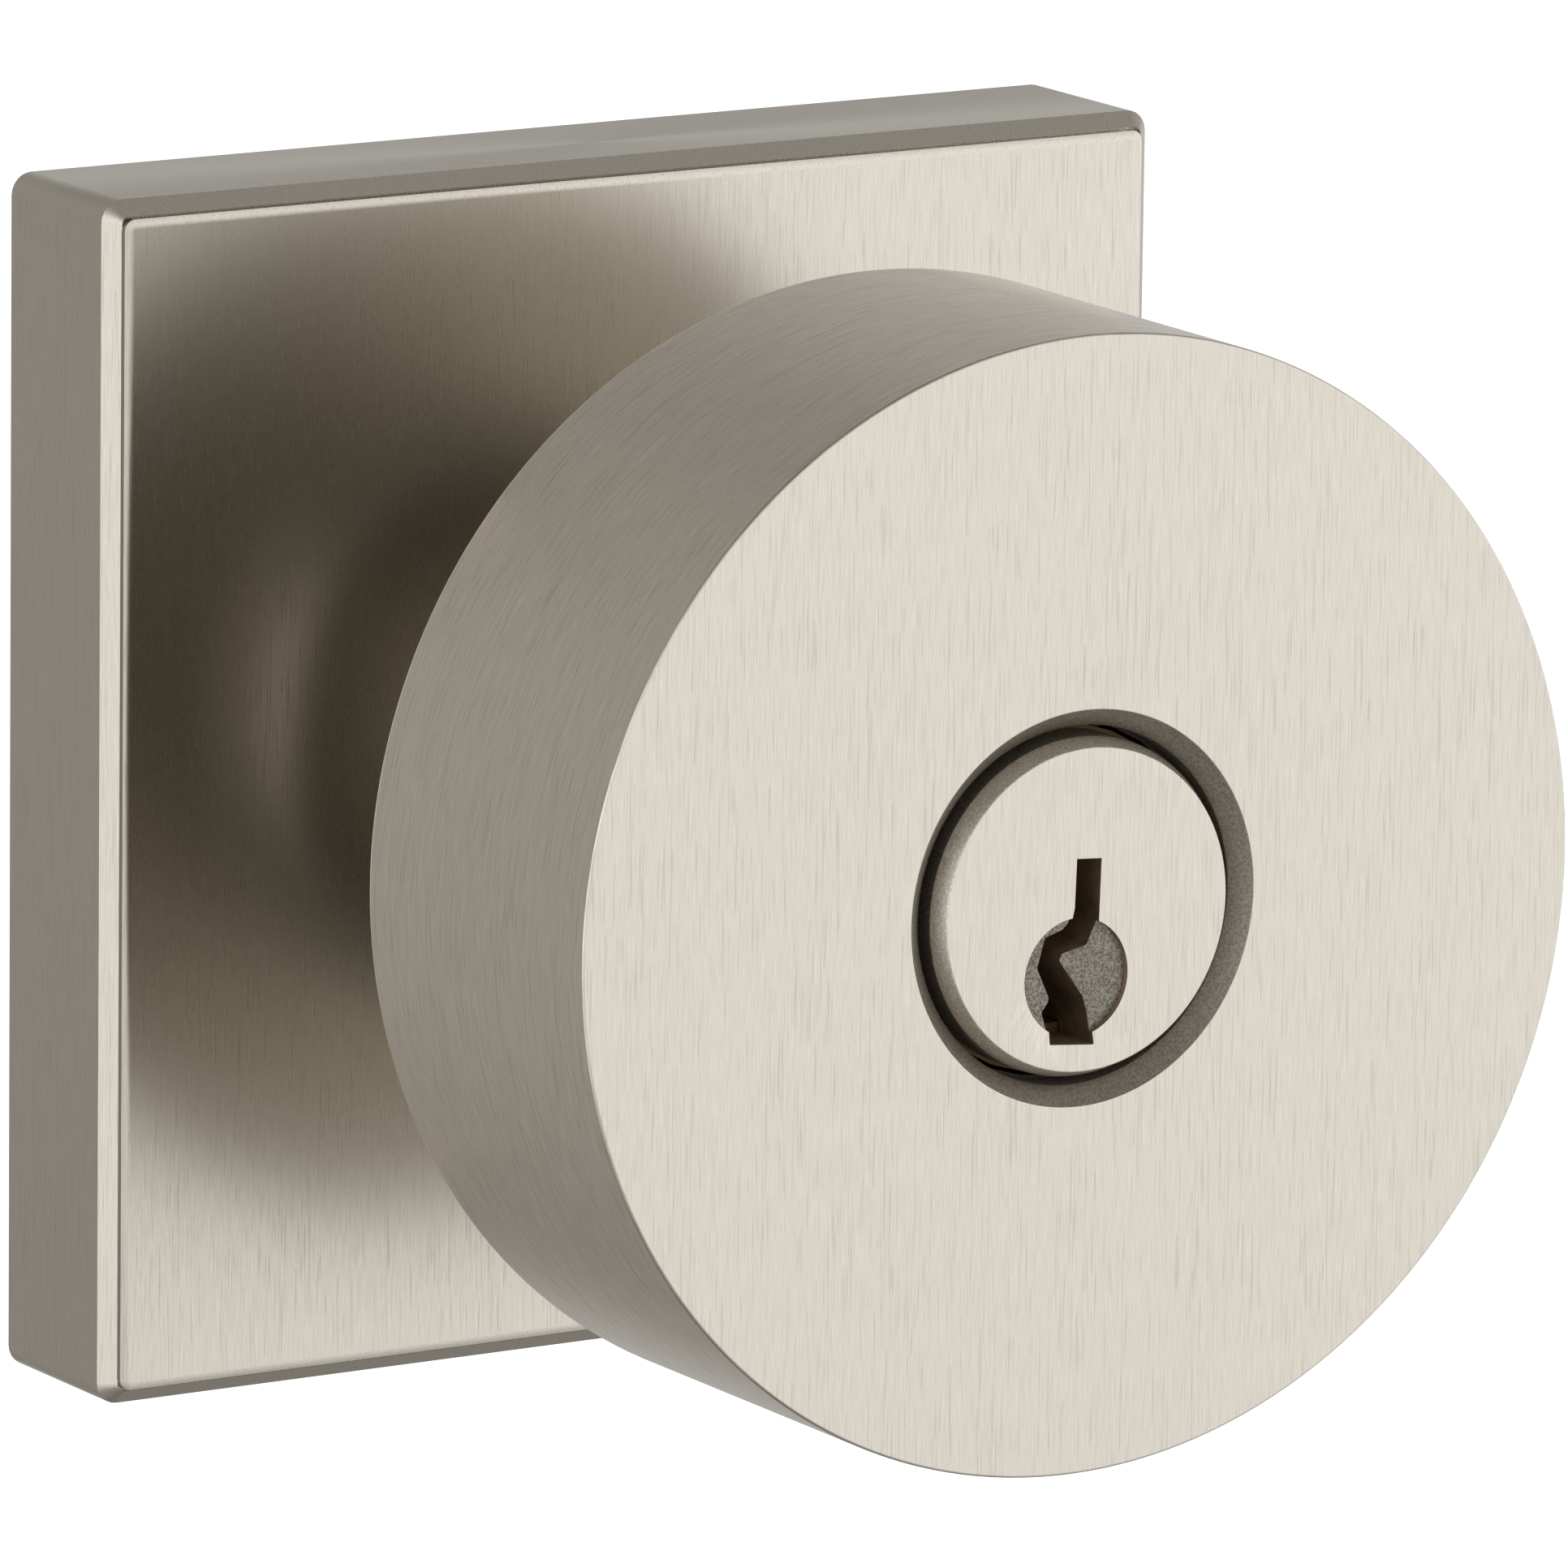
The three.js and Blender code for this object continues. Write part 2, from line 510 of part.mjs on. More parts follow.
// The knob's back and its coved neck, turned in one, pocketed for the cylinder and spindle.
function knobBack() {
  const rim = KNOB_RADIUS - KNOB_WALL - GAP;
  const coveSteps = 5;
  const cove = Array.from({ length: coveSteps + 1 }, (_, i) => {
    const angle = (i / coveSteps) * (Math.PI / 2);
    return [
      NECK_ROOT - (NECK_ROOT - NECK_RADIUS) * Math.sin(angle),
      ROOT_END + NECK_COVE * (1 - Math.cos(angle)),
    ];
  });
  let back = turned([
    [0, BACK_FRONT], [rim, BACK_FRONT], [rim, BACK_REAR], [NECK_ROOT, BACK_REAR],
    ...cove, [NECK_RADIUS, NECK_END], [0, NECK_END],
  ], FINE);
  back = back.subtract(cylinderOutline(BACK_FRONT - GAP, POCKET_END, GAP));
  back = back.subtract(rod(CAP_RADIUS + FREE_GAP, BACK_FRONT, SPINDLE_FRONT));
  back = back.subtract(rod(NECK_BORE, BACK_FRONT, NECK_END + GAP));
  for (const [x, z] of coreScrewPlaces()) {
    const thread = rod(CORE_SCREW.shank + TURN_GAP, BACK_FRONT - GAP, BACK_FRONT + CORE_SCREW_BITE, COARSE);
    back = back.subtract(thread.translate([x, 0, z]));
  }
  const release = uprightRod(CATCH_RADIUS + TURN_GAP, -NECK_RADIUS - GAP, 0);
  return back.subtract(release.translate([0, CATCH_AT, 0]));
}

// The split tube that carries the turn to the latch inside the door.
function spindle() {
  const bar = SPINDLE_RADIUS;
  let body = tube(bar, SPINDLE_BORE, SPINDLE_FRONT, SPINDLE_REACH);
  const clipRear = CLIP_FRONT + CLIP.thickness;
  const groove = tube(bar + GAP, bar - CLIP.depth, CLIP_FRONT - GAP / 2, clipRear + GAP / 2);
  body = body.subtract(groove);
  body = body.subtract(uprightRod(CATCH_RADIUS + TURN_GAP, -bar - GAP, 0).translate([0, CATCH_AT, 0]));
  const key = KEY_WIDTH / 2 + GAP;
  body = body.subtract(block([-key, LUG_FRONT - GAP, 0], [key, CASSETTE_BACK, bar + GAP]));
  const half = CHANNEL.width / 2;
  return body.subtract(block([-half, CHANNEL.start, 0], [half, SPINDLE_REACH + GAP, bar + GAP]));
}

// The open ring that keeps the spindle from being pulled out of the plate.
function spindleClip() {
  const inner = SPINDLE_RADIUS - CLIP.depth + GAP / 2;
  const shape = openRing(inner + CLIP.rim, inner, CLIP.opening, -Math.PI / 2);
  return prism(shape, CLIP_FRONT, CLIP_FRONT + CLIP.thickness, { curveSegments: 16 });
}

// The hub keyed on the spindle, whose lug winds the return spring and meets the stops.
function driveHub() {
  const hub = tube(HUB_RADIUS, HUB_BORE, CASSETTE_INSIDE + GAP, LUG_FRONT + LUG.depth);
  const rear = LUG_FRONT + LUG.depth;
  const midWall = (HUB_RADIUS + HUB_BORE) / 2;
  const lug = block([-LUG.width / 2, LUG_FRONT, midWall], [LUG.width / 2, rear, LUG_REACH]);
  const key = block([-KEY_WIDTH / 2, LUG_FRONT, SPINDLE_BORE + GAP], [KEY_WIDTH / 2, rear, midWall]);
  return hub.add(lug).add(key);
}

// The lock cylinder's body, bored for the plug and drilled for the pin stacks.
function cylinderBody() {
  const half = BIBLE_WIDTH / 2;
  const bible = block([-half, BIBLE_FRONT, 0], [half, BIBLE_REAR, BIBLE_TOP]);
  let body = rod(BODY_RADIUS, BODY_FRONT, BODY_REAR).add(bible);
  body = body.subtract(rod(SHEAR_LINE, BODY_FRONT - GAP, BODY_REAR + GAP));
  for (const y of pinPlaces) {
    body = body.subtract(uprightRod(PIN_HOLE_RADIUS, 0, BIBLE_TOP + GAP).translate([0, y, 0]));
  }
  return body;
}

// The strip that closes the pin chambers.
function chamberCover() {
  const half = BIBLE_WIDTH / 2;
  return block([-half, BIBLE_FRONT, BIBLE_TOP + GAP / 2], [half, BIBLE_REAR, COVER_TOP]);
}

// A coil spring standing on a driver pin, under the cover.
function pinSpring() {
  const low = DRIVER_BOTTOM + DRIVER_LENGTH + GAP / 2 + PIN_SPRING.wire;
  const high = BIBLE_TOP - PIN_SPRING.wire;
  const stepsPerTurn = 8;
  const steps = PIN_SPRING.turns * stepsPerTurn;
  const points = Array.from({ length: steps + 1 }, (_, i) => {
    const angle = (i / stepsPerTurn) * 2 * Math.PI;
    const z = low + ((high - low) * i) / steps;
    return new THREE.Vector3(PIN_SPRING.mean * Math.cos(angle), PIN_SPRING.mean * Math.sin(angle), z);
  });
  return wire(new THREE.CatmullRomCurve3(points), PIN_SPRING.wire, steps, WIRE_SIDES);
}

// The bowed leaf inside the spindle that pushes the catch out.
function catchSpring() {
  const bottom = SPINDLE_RADIUS - SPINDLE_WALL - GAP - CATCH_FLANGE.height - GAP;
  const top = SPINDLE_BORE - GAP;
  const outer = (top + bottom) / 2;
  const shape = openRing(outer, outer - LEAF.thickness, LEAF.opening, Math.PI / 2);
  const ring = prism(shape, CATCH_AT - LEAF.width / 2, CATCH_AT + LEAF.width / 2, { curveSegments: 16 });
  return ring.translate([0, 0, (top - bottom) / 2]);
}

add('knob_shell', knobShell(), SATIN_NICKEL);
add('knob_core', knobCore(), ZINC_CASTING);
add('knob_back', knobBack(), SATIN_NICKEL);
coreScrewPlaces().forEach(([x, z], i) => {
  const head = CORE_FRONT + GAP / 2;
  const length = BACK_FRONT + CORE_SCREW_BITE - GAP - head;
  add(`core_screw_${i + 1}`, screw(CORE_SCREW, length), ZINC_PLATED, [x, head, z]);
});
add('spindle', spindle(), ZINC_PLATED);
add('spindle_clip', spindleClip(), SPRING_STEEL);
add('drive_hub', driveHub(), ZINC_CASTING);
add('cylinder_body', cylinderBody(), BRASS);
add('chamber_cover', chamberCover(), BRASS);
pinPlaces.forEach((y, i) => add(`pin_spring_${i + 1}`, pinSpring(), SPRING_STEEL, [0, y, 0]));
add('catch_spring', catchSpring(), SPRING_STEEL);

// ---- turns with the key -----------------------------------------------------------------

// The keyway's outline as seen from the front: a straight slot over a hooked lower ward.
function keywayShape() {
  const shape = new THREE.Shape();
  shape.moveTo(0.84, 2.65);
  shape.lineTo(0.75, -0.76);
  shape.quadraticCurveTo(0.45, -1.5, 0.1, -1.95);
  shape.lineTo(-1.32, -2.23);
  shape.quadraticCurveTo(-1.6, -2.6, -0.76, -3.55);
  shape.quadraticCurveTo(0.1, -4.55, 0.29, -5.54);
  shape.lineTo(0.55, -7.15);
  shape.lineTo(-2.15, -6.9);
  shape.lineTo(-2.5, -5.2);
  shape.quadraticCurveTo(-1.85, -4.7, -2.3, -3.97);
  shape.quadraticCurveTo(-3.05, -2.9, -2.35, -1.29);
  shape.quadraticCurveTo(-0.75, -0.85, -0.75, 0.15);
  shape.lineTo(-0.66, 2.75);
  return shape;
}

// The plug: a coned head that shows in the knob's face and a barrel drilled for the pins.
function plug() {
  let body = turned([
    [0, HEAD_FRONT], [HEAD_FACE_RADIUS, HEAD_FRONT], [HEAD_RADIUS, HEAD_FRONT + HEAD_CONE],
    [HEAD_RADIUS, HEAD_REAR], [PLUG_RADIUS, HEAD_REAR], [PLUG_RADIUS, TAIL_FRONT],
    [TAIL_RADIUS, TAIL_FRONT], [TAIL_RADIUS, TAIL_END], [0, TAIL_END],
  ]);
  const dish = rod(DISH.radius, HEAD_FRONT - GAP, HEAD_FRONT + DISH.depth, COARSE * 2);
  body = body.subtract(dish.translate([DISH.x, 0, DISH.z]));
  body = body.subtract(prism(keywayShape(), HEAD_FRONT - GAP, TAIL_END - KEYWAY_END));
  for (const y of pinPlaces) {
    body = body.subtract(uprightRod(PIN_HOLE_RADIUS, PIN_FLOOR, PLUG_RADIUS + GAP).translate([0, y, 0]));
  }
  const slotHalf = BLADE_THICKNESS / 2 + GAP;
  const headHalf = BLADE_HEAD / 2 + GAP;
  const slot = block([-slotHalf, BLADE_HEAD_FRONT - GAP, -headHalf], [slotHalf, TAIL_END + GAP, headHalf]);
  return body.subtract(slot);
}

// The threaded cap on the plug's tail: it keeps the plug in and the blade on.
function plugCap() {
  const cap = turned([
    [0, CAP_REAR], [CAP_RADIUS, CAP_REAR], [CAP_RADIUS, CAP_FRONT], [TAIL_RADIUS + TURN_GAP, CAP_FRONT],
    [TAIL_RADIUS + TURN_GAP, TAIL_END + GAP], [0, TAIL_END + GAP],
  ]);
  const x = BLADE_THICKNESS / 2 + GAP;
  const z = BLADE_WIDTH / 2 + GAP;
  return cap.subtract(block([-x, TAIL_END, -z], [x, CAP_REAR + GAP, z]));
}

// The flat blade that carries the key's turn through the spindle.
function torqueBlade() {
  const x = BLADE_THICKNESS / 2;
  const head = block([-x, BLADE_HEAD_FRONT, -BLADE_HEAD / 2], [x, BLADE_HEAD_REAR, BLADE_HEAD / 2]);
  return head.add(block([-x, BLADE_HEAD_FRONT, -BLADE_WIDTH / 2], [x, BLADE_REACH, BLADE_WIDTH / 2]));
}

// A pin that stands in its hole, coned at the bottom and domed at the top.
function pin(length, tip) {
  const body = turned([
    [0, 0], [PIN_RADIUS - tip, 0], [PIN_RADIUS, tip], [PIN_RADIUS, length - PIN_CHAMFER],
    [PIN_RADIUS - PIN_CHAMFER, length], [0, length],
  ], COARSE);
  return body.rotate([90, 0, 0]);
}

// The round catch in the spindle's wall that hooks into the neck, with its flange inside.
function knobCatch() {
  const flangeTop = -(SPINDLE_BORE - GAP - CATCH_FLANGE.height);
  const tip = -(SPINDLE_RADIUS + CATCH_PROUD);
  const reach = CATCH_FLANGE.radius;
  const flange = uprightRod(reach, flangeTop - CATCH_FLANGE.height, flangeTop);
  const barrel = rod(SPINDLE_BORE - TURN_GAP, CATCH_AT - reach, CATCH_AT + reach);
  const stem = uprightRod(CATCH_RADIUS, tip, flangeTop - CATCH_FLANGE.height / 2);
  return flange.translate([0, CATCH_AT, 0]).intersect(barrel).add(stem.translate([0, CATCH_AT, 0]));
}

add('plug', plug(), PLUG_NICKEL);
add('plug_cap', plugCap(), BRASS);
add('torque_blade', torqueBlade(), ZINC_PLATED);
pinPlaces.forEach((y, i) => {
  add(`key_pin_${i + 1}`, pin(KEY_PIN_LENGTHS[i], PIN_TIP), BRASS, [0, y, PIN_FLOOR + GAP / 2]);
  add(`driver_pin_${i + 1}`, pin(DRIVER_LENGTH, PIN_CHAMFER), BRASS, [0, y, DRIVER_BOTTOM]);
});
add('knob_catch', knobCatch(), ZINC_PLATED);

export default lock;
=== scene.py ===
# Outside half of a keyed entry knob on a square rose, in brushed satin nickel.
# Sizes are in millimetres and are turned into metres where a mesh is placed.
from math import cos, pi, radians, sin

import bmesh
import bpy
from mathutils import Euler, Matrix, Vector


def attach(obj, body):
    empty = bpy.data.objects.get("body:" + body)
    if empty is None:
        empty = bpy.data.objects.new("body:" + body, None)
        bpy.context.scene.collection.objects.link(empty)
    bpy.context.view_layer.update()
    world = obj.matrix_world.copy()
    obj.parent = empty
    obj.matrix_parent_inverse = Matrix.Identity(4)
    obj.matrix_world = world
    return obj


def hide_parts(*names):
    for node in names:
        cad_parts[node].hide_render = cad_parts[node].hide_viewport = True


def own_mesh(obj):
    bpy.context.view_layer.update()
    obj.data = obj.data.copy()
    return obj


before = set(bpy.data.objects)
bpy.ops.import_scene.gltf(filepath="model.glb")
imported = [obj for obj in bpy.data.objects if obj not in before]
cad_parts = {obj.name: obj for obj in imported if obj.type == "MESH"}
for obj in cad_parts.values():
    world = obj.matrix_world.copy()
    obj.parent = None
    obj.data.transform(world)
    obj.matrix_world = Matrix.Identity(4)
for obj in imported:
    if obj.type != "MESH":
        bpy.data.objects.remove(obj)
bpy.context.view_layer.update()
MM = 0.001


# ---- Studio: camera, floor and light ---------------------------------------------------------
# The camera stands to the left of the lock and a little above it, with a long lens. A pale floor
# lies well below. The room is a soft grey, bright in front, with side lights and a white wall
# straight behind the lock.
aside, above, lean = radians(31.61), radians(11.82), radians(0.74)
DISTANCE, SHIFT_ACROSS, SHIFT_UP, LENS = 846.76, 7.782, -1.527, 361.4
sight = Vector((sin(aside) * cos(above), cos(aside) * cos(above), -sin(above)))
across = sight.cross(Vector((0, 0, 1))).normalized()
upward = across.cross(sight)
aim = Vector((0, -11.1, 0))  # the middle of the rose's face
camera = bpy.data.objects.new("camera", bpy.data.cameras.new("camera"))
camera.location = (aim - sight * DISTANCE + across * SHIFT_ACROSS + upward * SHIFT_UP) * MM
turn = Euler((pi / 2 - above, 0, -aside)).to_matrix() @ Matrix.Rotation(lean, 3, "Z")
camera.rotation_euler = turn.to_euler()
camera.data.lens = LENS
bpy.context.scene.collection.objects.link(camera)
bpy.context.scene.camera = camera
bpy.context.scene.view_settings.view_transform = "Standard"


class Flow:
    """A value in a material's or the world's nodes. Arithmetic on it adds Math nodes."""

    def __init__(self, tree, socket=None):
        self.tree = tree
        self.socket = socket

    def node(self, kind, settings, sockets, output=0):
        """Adds a node, sets and links it, and gives one of its outputs."""
        made = self.tree.nodes.new(kind)
        for name, value in settings.items():
            setattr(made, name, value)
        for name, value in sockets.items():
            if isinstance(value, Flow):
                self.tree.links.new(value.socket, made.inputs[name])
            else:
                made.inputs[name].default_value = value
        return Flow(self.tree, made.outputs[output])

    def maths(self, operation, *others):
        terms = dict(enumerate((self, *others)))
        return self.node("ShaderNodeMath", {"operation": operation}, terms)

    def __add__(self, other):
        return self.maths("ADD", other)

    def __sub__(self, other):
        return self.maths("SUBTRACT", other)

    def __mul__(self, other):
        return self.maths("MULTIPLY", other)

    def __rsub__(self, other):
        return self * -1 + other

    __radd__ = __add__
    __rmul__ = __mul__

    def step(self, low, high):
        """0 below low and 1 above high, with a smooth rise between them."""
        sockets = {"Value": self, "From Min": low, "From Max": high}
        return self.node("ShaderNodeMapRange", {"interpolation_type": "SMOOTHSTEP"}, sockets)

    def part(self, name):
        """One part of a vector: X, Y or Z."""
        return self.node("ShaderNodeSeparateXYZ", {}, {0: self}, name)


world = bpy.data.worlds.new("studio")
bpy.context.scene.world = world
world.use_nodes = True
room = Flow(world.node_tree)
way = room.node("ShaderNodeTexCoord", {}, {}, "Generated")
to_right, to_back, to_top = way.part("X"), way.part("Y"), way.part("Z")
level = to_top.step(-0.8, 0.0) * (1 - to_top.step(0.1, 0.85))
height = to_top.maths("ABSOLUTE").step(0.4, 0.9)
front = (to_back * -1).step(-0.15, 0.4)
right = to_right.step(0.05, 0.65) * (1 - 0.6 * to_top.step(0.0, 0.25))
left = (to_right * -1).step(0.5, 0.95) * (1 - to_back.step(-0.1, 0.4))

GREY_ROOM, DARK_CEILING, FRONT_LIGHT, SIDE_LIGHT, WHITE_WALL = 0.34, 0.2, 0.665, 0.3, 0.6
light = GREY_ROOM - DARK_CEILING * height * to_back.step(-0.3, 0.2) + FRONT_LIGHT * level * front
light = light + SIDE_LIGHT * right * (1 - 0.5 * height) + SIDE_LIGHT * left * (1 - height)
light = light + WHITE_WALL * to_back.step(0.88, 0.98)
DIM_HUE, BRIGHT_HUE, PAPER_WHITE = (1, 0.95, 0.88, 1), (1, 0.99, 0.975, 1), 1.05
hues = {0: light.step(0.25, 0.6), 6: DIM_HUE, 7: BRIGHT_HUE}
hue = room.node("ShaderNodeMix", {"data_type": "RGBA"}, hues, 2)
seen = room.node("ShaderNodeLightPath", {}, {}, "Is Camera Ray")
strength = light.maths("MAXIMUM", seen * PAPER_WHITE)
ground = world.node_tree.nodes["Background"]
world.node_tree.links.new(strength.socket, ground.inputs["Strength"])
world.node_tree.links.new(hue.socket, ground.inputs["Color"])

FLOOR_SIZE, FLOOR_AT = 12, -0.35
bpy.ops.object.select_all(action="DESELECT")
bpy.ops.mesh.primitive_plane_add(size=FLOOR_SIZE, location=(0, 0, FLOOR_AT))
floor = bpy.context.object
floor.name = "floor"
floor.visible_glossy = False
paper = bpy.data.materials.new("floor_paper")
paper.use_nodes = True
paper_shader = paper.node_tree.nodes["Principled BSDF"].inputs
paper_shader["Base Color"].default_value = (0.9, 0.9, 0.9, 1)
paper_shader["Roughness"].default_value = 1
paper_shader["Emission Color"].default_value = (1, 1, 1, 1)
paper_shader["Emission Strength"].default_value = 0.85
floor.data.materials.append(paper)


# ---- Rose ------------------------------------------------------------------------------------
# A square cover drawn from brass and plated, 65 mm across and 11 mm deep. Its front edges are
# eased at 45 degrees round a raised face. It was ground on a belt along its height.
def new_piece(name):
    """The primitive that was just added becomes a named piece."""
    piece = bpy.context.object
    piece.name = name
    piece.data.name = name
    return piece


def clear():
    """Deselects everything."""
    bpy.ops.object.select_all(action="DESELECT")


def pick(piece, kind, test):
    """In edit mode, selects only the faces, edges or vertices whose middle passes the test."""
    bpy.ops.mesh.select_mode(type={"faces": "FACE", "edges": "EDGE", "verts": "VERT"}[kind])
    bpy.ops.mesh.select_all(action="DESELECT")
    mesh = bmesh.from_edit_mesh(piece.data)
    for item in getattr(mesh, kind):
        if kind == "verts":
            middle = item.co
        else:
            middle = sum((v.co for v in item.verts), Vector()) / len(item.verts)
        if test(item, middle / MM):
            item.select_set(True)
    bmesh.update_edit_mesh(piece.data)


def take(piece):
    """Selects the piece, and no other, and makes it the active one."""
    clear()
    piece.select_set(True)
    bpy.context.view_layer.objects.active = piece


def edit(piece):
    """Opens the piece in edit mode."""
    take(piece)
    bpy.ops.object.mode_set(mode="EDIT")


def close(piece):
    """Leaves edit mode with doubles merged and every face pointing out."""
    bpy.ops.mesh.select_all(action="SELECT")
    bpy.ops.mesh.remove_doubles(threshold=0.002 * MM)
    bpy.ops.mesh.delete_loose()
    bpy.ops.mesh.select_all(action="SELECT")
    bpy.ops.mesh.normals_make_consistent(inside=False)
    bpy.ops.object.mode_set(mode="OBJECT")


def place(piece):
    """Puts the piece's place, turn and size into its mesh."""
    take(piece)
    bpy.ops.object.transform_apply(location=True, rotation=True, scale=True)


def dress(piece, *materials):
    """Gives a piece its materials and no others."""
    piece.data.materials.clear()
    for material in materials:
        piece.data.materials.append(material)


def modify(piece, kind, **settings):
    """Adds a modifier with these settings and applies it."""
    take(piece)
    bpy.ops.object.modifier_add(type=kind)
    modifier = piece.modifiers[-1]
    for name, value in settings.items():
        setattr(modifier, name, value)
    bpy.ops.object.modifier_apply(modifier=modifier.name)


def combine(piece, tool, operation):
    """Cuts the tool out of the piece, or joins it on, and throws the tool away."""
    modify(piece, "BOOLEAN", operation=operation, object=tool, solver="MANIFOLD")
    bpy.data.objects.remove(tool)


def block(low, high):
    """A box between two corners, to cut with or to work further."""
    clear()
    low, high = Vector(low), Vector(high)
    bpy.ops.mesh.primitive_cube_add(
        size=1, location=(low + high) / 2 * MM, scale=(high - low) * MM)
    tool = bpy.context.object
    place(tool)
    return tool


def bar(radius, front, rear, x=0, z=0, sides=64):
    """A round bar along Y, used as a tool."""
    clear()
    bpy.ops.mesh.primitive_cylinder_add(
        vertices=sides, radius=radius * MM, depth=(rear - front) * MM,
        location=(x * MM, (front + rear) / 2 * MM, z * MM), rotation=(pi / 2, 0, 0))
    tool = bpy.context.object
    place(tool)
    return tool


def upright(radius, low, high, x=0, y=0, sides=48):
    """A round bar along Z, used as a tool."""
    clear()
    bpy.ops.mesh.primitive_cylinder_add(
        vertices=sides, radius=radius * MM, depth=(high - low) * MM,
        location=(x * MM, y * MM, (low + high) / 2 * MM))
    tool = bpy.context.object
    place(tool)
    return tool


def smooth(piece, angle=32):
    """Shades round stretches smooth and keeps every sharper edge crisp."""
    take(piece)
    bpy.ops.object.shade_smooth_by_angle(angle=radians(angle))
    modify(piece, "WEIGHTED_NORMAL", keep_sharp=True)


def new_material(name, **shader):
    """A metal's shader with its even settings, and a Flow to build its pattern with."""
    material = bpy.data.materials.new(name)
    material.use_nodes = True
    principled = material.node_tree.nodes["Principled BSDF"]
    for socket, value in shader.items():
        principled.inputs[socket.replace("_", " ")].default_value = value
    return material, Flow(material.node_tree), principled


def feed(flow, principled, **sockets):
    """Links values to the shader's sockets, whose names have _ for each space."""
    for socket, value in sockets.items():
        flow.tree.links.new(value.socket, principled.inputs[socket.replace("_", " ")])


def scaled(flow, scale):
    """The piece's own coordinates, each stretched by its own amount."""
    spot = flow.node("ShaderNodeTexCoord", {}, {}, "Object")
    return flow.node("ShaderNodeVectorMath", {"operation": "MULTIPLY"}, {0: spot, 1: scale})


def noise(flow, vector, detail=2.0, roughness=0.6):
    sockets = {"Vector": vector, "Scale": 1.0, "Detail": detail, "Roughness": roughness}
    return flow.node("ShaderNodeTexNoise", {}, sockets, "Fac")


def tint(flow, amount, dark, light):
    """A colour between two, by a value from 0 to 1."""
    sockets = {0: amount, 6: (*dark, 1), 7: (*light, 1)}
    return flow.node("ShaderNodeMix", {"data_type": "RGBA"}, sockets, 2)


def bump(flow, height, strength, depth):
    """A normal from a height. Depth is in millimetres."""
    sockets = {"Height": height, "Strength": strength, "Distance": depth * MM}
    return flow.node("ShaderNodeBump", {}, sockets)


def brushed_nickel(name, grain, drift, dark, light, anisotropy):
    """Ground nickel. Grain and drift say how fast the hairlines and the sparse darker
    scratches change along each axis, in waves to a metre."""
    material, flow, shader = new_material(
        name, Metallic=1.0, Anisotropic=anisotropy, Anisotropic_Rotation=0.25)
    fine = noise(flow, scaled(flow, grain), 3.0, 0.8)
    scratches = noise(flow, scaled(flow, drift), 1.0).step(0.58, 0.7)
    streaks = fine.step(0.25, 0.75) * 0.6 + 0.22 - scratches * 0.45
    colour = tint(flow, streaks, dark, light)
    rough = 0.21 + 0.08 * (1 - streaks)
    feed(flow, shader, Base_Color=colour, Roughness=rough, Normal=bump(flow, fine, 0.12, 0.004))
    return material


ROSE_SIDE, ROSE_DEPTH, ROSE_WALL = 65.0, 11.1, 2.4
ROSE_CORNER, ROSE_EASE = 1.2, 0.8
GROOVE, GROOVE_LEFT, GROOVE_DEPTH = 0.12, -0.02, 0.6  # round the face, closed on the left
FACE_RAISED, FACE_CORNER, FACE_EASE, EASE_DEPTH = 0.5, 0.6, 0.5, 0.17
COVER_SCREW_AT, BOSS_RADIUS, BOSS_BORE, BOSS_END, NECK_HOLE = 25.5, 3.2, 1.25, -3.5, 14.85
half, rim_at, shoulder_at = ROSE_SIDE / 2, FACE_RAISED - ROSE_DEPTH, EASE_DEPTH - ROSE_DEPTH
clear()
bpy.ops.mesh.primitive_cube_add(
    size=1, location=(0, rim_at / 2 * MM, 0),
    scale=(ROSE_SIDE * MM, -rim_at * MM, ROSE_SIDE * MM))
rose = new_piece("rose_cover")
place(rose)
edit(rose)
pick(rose, "edges", lambda edge, middle: min(abs(middle.x), abs(middle.z)) > half - 1)
bpy.ops.mesh.bevel(offset=ROSE_CORNER * MM, segments=6, affect="EDGES")
pick(rose, "faces", lambda face, middle: face.normal.y < -0.9)
bpy.ops.mesh.bevel(offset=ROSE_EASE * MM, segments=1, affect="EDGES")
pick(rose, "faces", lambda face, middle: face.normal.y < -0.9)
bpy.ops.mesh.extrude_region_move(TRANSFORM_OT_translate={"value": (0, GROOVE_DEPTH * MM, 0)})
close(rose)
inside, inner_face = half - ROSE_WALL, ROSE_WALL - ROSE_DEPTH
combine(rose, block((-inside, inner_face, -inside), (inside, 1, inside)), "DIFFERENCE")
raised = half - ROSE_EASE - GROOVE
panel = block((GROOVE_LEFT - GROOVE - raised, shoulder_at, -raised), (raised, rim_at + 1, raised))
edit(panel)
pick(panel, "edges", lambda edge, middle: min(abs(middle.x), abs(middle.z)) > raised - 1)
bpy.ops.mesh.bevel(offset=FACE_CORNER * MM, segments=4, affect="EDGES")
pick(panel, "faces", lambda face, middle: face.normal.y < -0.9)
bpy.ops.mesh.inset(thickness=FACE_EASE * MM, depth=EASE_DEPTH * MM)
close(panel)
combine(rose, panel, "UNION")
corners = [(x, z) for x in (-COVER_SCREW_AT, COVER_SCREW_AT)
           for z in (-COVER_SCREW_AT, COVER_SCREW_AT)]
for x, z in corners:
    combine(rose, bar(BOSS_RADIUS, inner_face - 0.2, BOSS_END, x, z), "UNION")
    combine(rose, bar(BOSS_BORE, inner_face, BOSS_END + 0.2, x, z), "DIFFERENCE")
combine(rose, bar(NECK_HOLE, -ROSE_DEPTH - 0.9, -8, sides=128), "DIFFERENCE")
smooth(rose)
